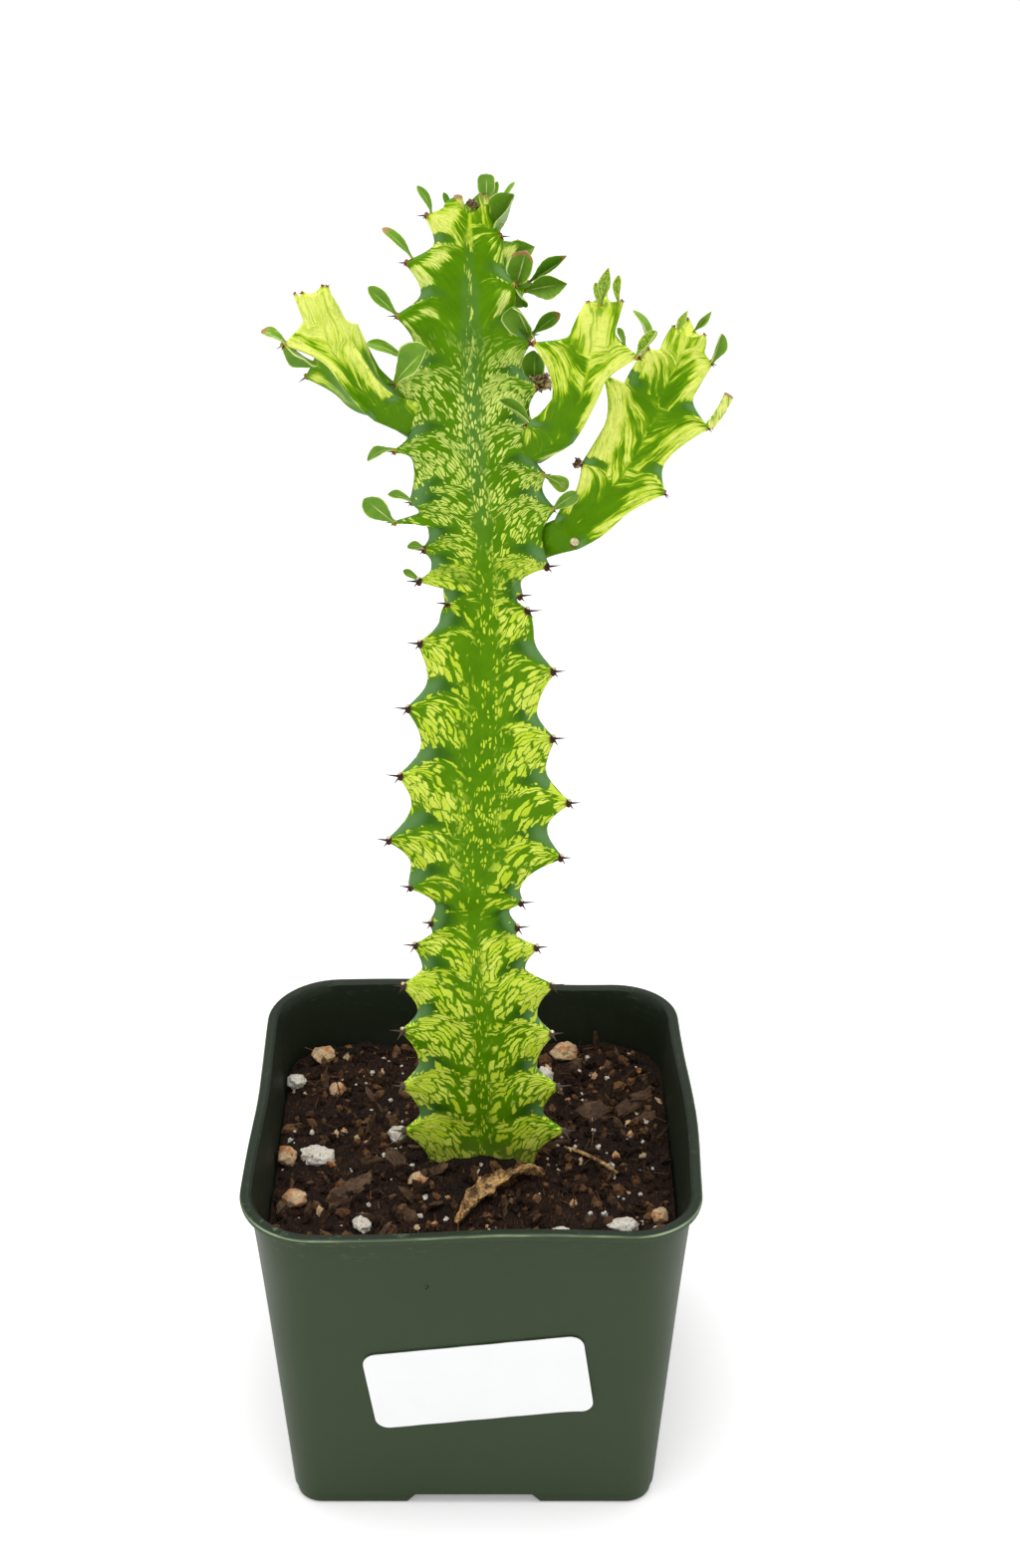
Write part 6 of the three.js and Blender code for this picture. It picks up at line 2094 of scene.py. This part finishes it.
def wander(g, geometry, scale, detail, middle, strength):
    """The geometry with its points pushed about by a cloud of random directions"""
    at = g.add("GeometryNodeInputPosition").outputs[0]
    inputs = {"Vector": at, "Scale": scale, "Detail": detail}
    way = g.add("ShaderNodeTexNoise", inputs).outputs["Color"]
    push = g.scale(g.vector("SUBTRACT", way, middle), strength)
    return g.add("GeometryNodeSetPosition", {"Geometry": geometry, "Offset": push}).outputs[0]


def crumb_tree():
    """Small rough lumps scattered over a bed, each turned and sized by chance"""
    tree, g, given, result = new_tree("scattered crumbs", [
        ("Density", FLOAT, 10000.0), ("Smallest", FLOAT, 0.4), ("Largest", FLOAT, 1.6),
        ("Flatness", FLOAT, 0.7), ("Length", FLOAT, 1.2), ("Seed", "NodeSocketInt", 1),
        ("Material", MATERIAL, None),
    ])
    size = g.times(g.random(given["Smallest"], given["Largest"], given["Seed"]), MM)
    turn = g.random((0.0, 0.0, 0.0), (FULL_TURN,) * 3, given["Seed"], "FLOAT_VECTOR")
    ball = g.add("GeometryNodeMeshIcoSphere", {"Radius": 0.5, "Subdivisions": 2}).outputs["Mesh"]
    ball = wander(g, ball, 3.1, 2.0, (0.5, 0.5, 0.5), 0.9)
    scale = g.join(g.times(size, given["Length"]), size, g.times(size, given["Flatness"]))
    crumbs = scattered(g, given, ball, turn, scale)
    g.feed(result["Geometry"], g.clad(crumbs, given["Material"]))
    return tree


def fibre_tree():
    """Short wiggly fibres lying on a bed"""
    tree, g, given, result = new_tree("loose fibres", [
        ("Density", FLOAT, 10000.0), ("Length", FLOAT, 7.0 * MM), ("Thickness", FLOAT, 0.16 * MM),
        ("Wiggle", FLOAT, 1.6 * MM), ("Seed", "NodeSocketInt", 1), ("Material", MATERIAL, None),
    ])
    inputs = {"Start": (0.0, 0.0, 0.0), "End": (1.0, 0.0, 0.0)}
    line = g.add("GeometryNodeCurvePrimitiveLine", inputs).outputs[0]
    line = g.add("GeometryNodeResampleCurve", {"Curve": line, "Count": 7}).outputs[0]
    turn = g.random(
        (-FIBRE_TILT, -FIBRE_TILT, 0.0), (FIBRE_TILT, FIBRE_TILT, FULL_TURN), given["Seed"],
        "FLOAT_VECTOR",
    )
    size = g.times(g.random(0.4, 1.3, given["Seed"]), given["Length"])
    fibres = scattered(g, given, line, turn, size)
    fibres = wander(g, fibres, 180.0, 1.0, (0.5, 0.5, 0.42), given["Wiggle"])
    inputs = {"Resolution": 4, "Radius": given["Thickness"]}
    ring = g.add("GeometryNodeCurvePrimitiveCircle", inputs).outputs[0]
    inputs = {"Curve": fibres, "Profile Curve": ring, "Fill Caps": True}
    mesh = g.add("GeometryNodeCurveToMesh", inputs).outputs[0]
    g.feed(result["Geometry"], g.clad(mesh, given["Material"]))
    return tree


def soil_bed(rows):
    """The peat's upper side without its hole and its edge, for crumbs to lie on"""
    rows = rows[2:-3]
    count = len(rows[0])
    faces = []
    for low in range(0, (len(rows) - 1) * count, count):
        for i in range(count):
            j = (i + 1) % count
            faces.append((low + i, low + j, low + count + j, low + count + i))
    return np.concatenate(rows), faces


def scatter(bed, name, tree, material, slot_name, values):
    """A piece of small things that a tree scatters over the bed"""
    piece = new_piece(name, *bed, material)
    grow(piece, tree, {**values, "Material": material})
    return dress(settle(piece), slot_name)


# Everything in its place

CELLS, STREAKS, GRAIN, DUST = streaked_cells(), soft_streaks(), fine_grain(), settled_dust()
POT_PLASTIC = pot_material(GRAIN, DUST)
PEAT = peat_material("damp peat", GRAIN, tint(13, 7, 4), tint(60, 35, 20), tint(126, 84, 50))
MAIN_SKIN = skin_material("streaked skin", CELLS, STREAKS, GRAIN, 2.1)
BRANCH_SKIN = skin_material("young streaked skin", CELLS, STREAKS, GRAIN, 1.8)
HORN, SCAR = horn_material(), scar_material(GRAIN)
BLADE = leaf_material(CELLS)
PERLITE = mineral_material(
    "white perlite", GRAIN, tint(240, 236, 228), tint(206, 196, 180), tint(196, 150, 96), 0.25,
)
PUMICE = mineral_material(
    "tan pumice", GRAIN, tint(226, 200, 162), tint(190, 150, 108), tint(186, 104, 44), 0.8,
)
BARK = bark_material()
DRY = dry_material("dry tan leaf", tint(146, 104, 56), tint(224, 184, 120))

make_pot(POT_PLASTIC)
make_label(paper_material(GRAIN))

STEM = main_stem()
SOIL_ROWS = make_soil(STEM, PEAT)
make_stem(STEM, MAIN_SKIN)
BRANCHES = [
    side_branch("branch_left", LEFT_BRANCH, (338, 354), (-0.05, 0.26, 0.66), 0.34),
    side_branch("branch_right_inner", INNER_BRANCH, (324, 352), (0.1, 0.3, 0.4), 0.36),
    side_branch("branch_right_outer", OUTER_BRANCH, (330, 352), (0.14, 0.34, 0.44), 0.36),
]
for branch in BRANCHES:
    make_stem(branch, BRANCH_SKIN)
SPINES, PADS = spine_tree(), pad_tree()
for stem in [STEM] + BRANCHES:
    make_spines(stem, SPINES, PADS, HORN, SCAR)

LEAF_SETS = [
    (STEM, MAIN_LEAVES), (BRANCHES[0], LEFT_LEAVES), (BRANCHES[1], INNER_LEAVES),
    (BRANCHES[2], OUTER_LEAVES),
]
seed = 0
for stem, leaves in LEAF_SETS:
    for node, leaf in leaves.items():
        seed += 1
        dress(make_leaf(node, stem, leaf, seed, BLADE), "leaf_skin", node)
for stem, buds in ((STEM, MAIN_BUDS), (BRANCHES[1], INNER_BUDS), (BRANCHES[2], OUTER_BUDS)):
    for i, bud in enumerate(buds):
        seed += 1
        name = stem["name"] + "_bud_" + str(i + 1)
        dress(make_leaf(name, stem, bud, seed, BLADE), "leaf_skin", stem["name"])

TIP_FLESH = tip_material(GRAIN)
for name, (foot, top, low_radius, high_radius) in STUBS.items():
    of_leaf = name.startswith("leaf")
    stub = make_stub(name + "_stalk", foot, top, (low_radius, high_radius), TIP_FLESH)
    dress(stub, "leaf_skin" if of_leaf else "stem_skin", name if of_leaf else "main_stem")
CRUMPLED = dry_material("crumpled brown bud", tint(142, 104, 66), tint(238, 212, 166))
for seed, (name, (place, size, node)) in enumerate(DRIED_BUDS.items(), 61):
    make_dried_bud(name, place, size, seed, CRUMPLED, node)

STONE_NODES = [
    "stone_back_round", "perlite_behind_stem", "stone_back_long", "perlite_left_back",
    "stone_left_back", "perlite_at_stem", "stone_left_edge", "perlite_large", "stone_left_front",
    "perlite_front_left", "stone_front_middle", "perlite_front_right", "perlite_front_cluster",
    "stone_right_edge",
]
PERLITE_ROUGH, PUMICE_ROUGH = 0.22, 0.12
for seed, node in enumerate(STONE_NODES, 21):
    if node.startswith("perlite"):
        lump_from_box(node + "_lump", node, PERLITE, "perlite", seed, PERLITE_ROUGH)
    else:
        lump_from_box(node + "_lump", node, PUMICE, "pumice", seed, PUMICE_ROUGH)
for seed, node in enumerate(CHIPS, 41):
    make_chip(node, BARK, seed)
make_dry_leaf(DRY)
rod("dry_straw", over_soil(STRAW_PATH), [STRAW_RADIUS] * 4, 8, DRY, "dried_leaf", "straw")
twig_foot = np.array([*TWIG_FOOT, float(soil_top(*TWIG_FOOT)) - TWIG_SUNK])
twig_path = [twig_foot + np.array(TWIG_LEAN) * share for share in (0, 0.4, 0.75, 1)]
rod("broken_twig", twig_path, [TWIG_RADIUS * 1.05, TWIG_RADIUS, 0.9, 0.6], 12, BARK, "bark", "twig")

CRUMB_TREE, BED = crumb_tree(), soil_bed(SOIL_ROWS)
CRUMB_INPUTS = ("Density", "Smallest", "Largest", "Flatness", "Length", "Seed")
for name, material, slot_name, values in (
    ("peat_crumbs", PEAT, "peat_soil", (80000.0, 0.7, 3.8, 0.75, 1.4, 3)),
    ("bark_crumbs", BARK, "bark", (9000.0, 1.4, 4.8, 0.4, 2.1, 8)),
    ("perlite_grains", PERLITE, "perlite", (14000.0, 0.5, 2.0, 0.9, 1.1, 15)),
    ("pumice_grains", PUMICE, "pumice", (4500.0, 0.7, 3.0, 0.8, 1.3, 23)),
):
    scatter(BED, name, CRUMB_TREE, material, slot_name, dict(zip(CRUMB_INPUTS, values)))
scatter(BED, "peat_fibres", fibre_tree(), PEAT, "peat_soil", {"Density": 52000.0, "Seed": 31})

# Floor, light and camera
FLOOR_HALF = 3000
floor_material, g, shader = new_material(
    "white table", Roughness=0.9, Specular_IOR_Level=0.1, Emission_Strength=0.22,
)
# To the camera alone the table glows a little and the backdrop is brighter
seen = g.add("ShaderNodeLightPath").outputs["Is Camera Ray"]
g.feed(shader["Emission Color"], g.mix(seen, (0, 0, 0, 1), (1, 1, 1, 1)))
unevenness = g.clouds(g.place(), 0.004, 2)
g.feed(shader["Base Color"], g.mix(unevenness, tint(250, 250, 250), tint(254, 254, 254)))
floor_corners = np.array([(-1, -1, 0), (1, -1, 0), (1, 1, 0), (-1, 1, 0)]) * FLOOR_HALF
floor = new_piece("floor", floor_corners, [(0, 1, 2, 3)], floor_material)

scene = bpy.context.scene
scene.view_settings.view_transform = "Standard"
world = bpy.data.worlds.new("white studio")
world.use_nodes = True
backdrop = world.node_tree.nodes["Background"].inputs[0]
g = Graph(world.node_tree)
seen = g.add("ShaderNodeLightPath").outputs["Is Camera Ray"]
g.feed(backdrop, g.mix(seen, (0.8, 0.8, 0.8, 1), (1.05, 1.05, 1.05, 1)))
scene.world = world


def add_light(name, place, target, size, power):
    lamp = bpy.data.lights.new(name, "AREA")
    lamp.shape, lamp.size, lamp.energy = "DISK", size, power
    light = add_object(name, lamp)
    light.location = place
    light.rotation_euler = (Vector(target) - Vector(place)).to_track_quat("-Z", "Y").to_euler()


add_light("overhead", (-0.1, -0.2, 1.7), (0, 0, 0.1), 1.3, 14)

camera_data = bpy.data.cameras.new("camera")
camera_data.lens = CAMERA_LENS
camera_data.sensor_fit = "VERTICAL"
camera_data.sensor_width = camera_data.sensor_height = CAMERA_FILM
camera = add_object("camera", camera_data)
camera.location = [MM * v for v in CAMERA_PLACE]
camera.rotation_euler = (math.radians(90 - CAMERA_PITCH), 0, 0)
scene.camera = camera
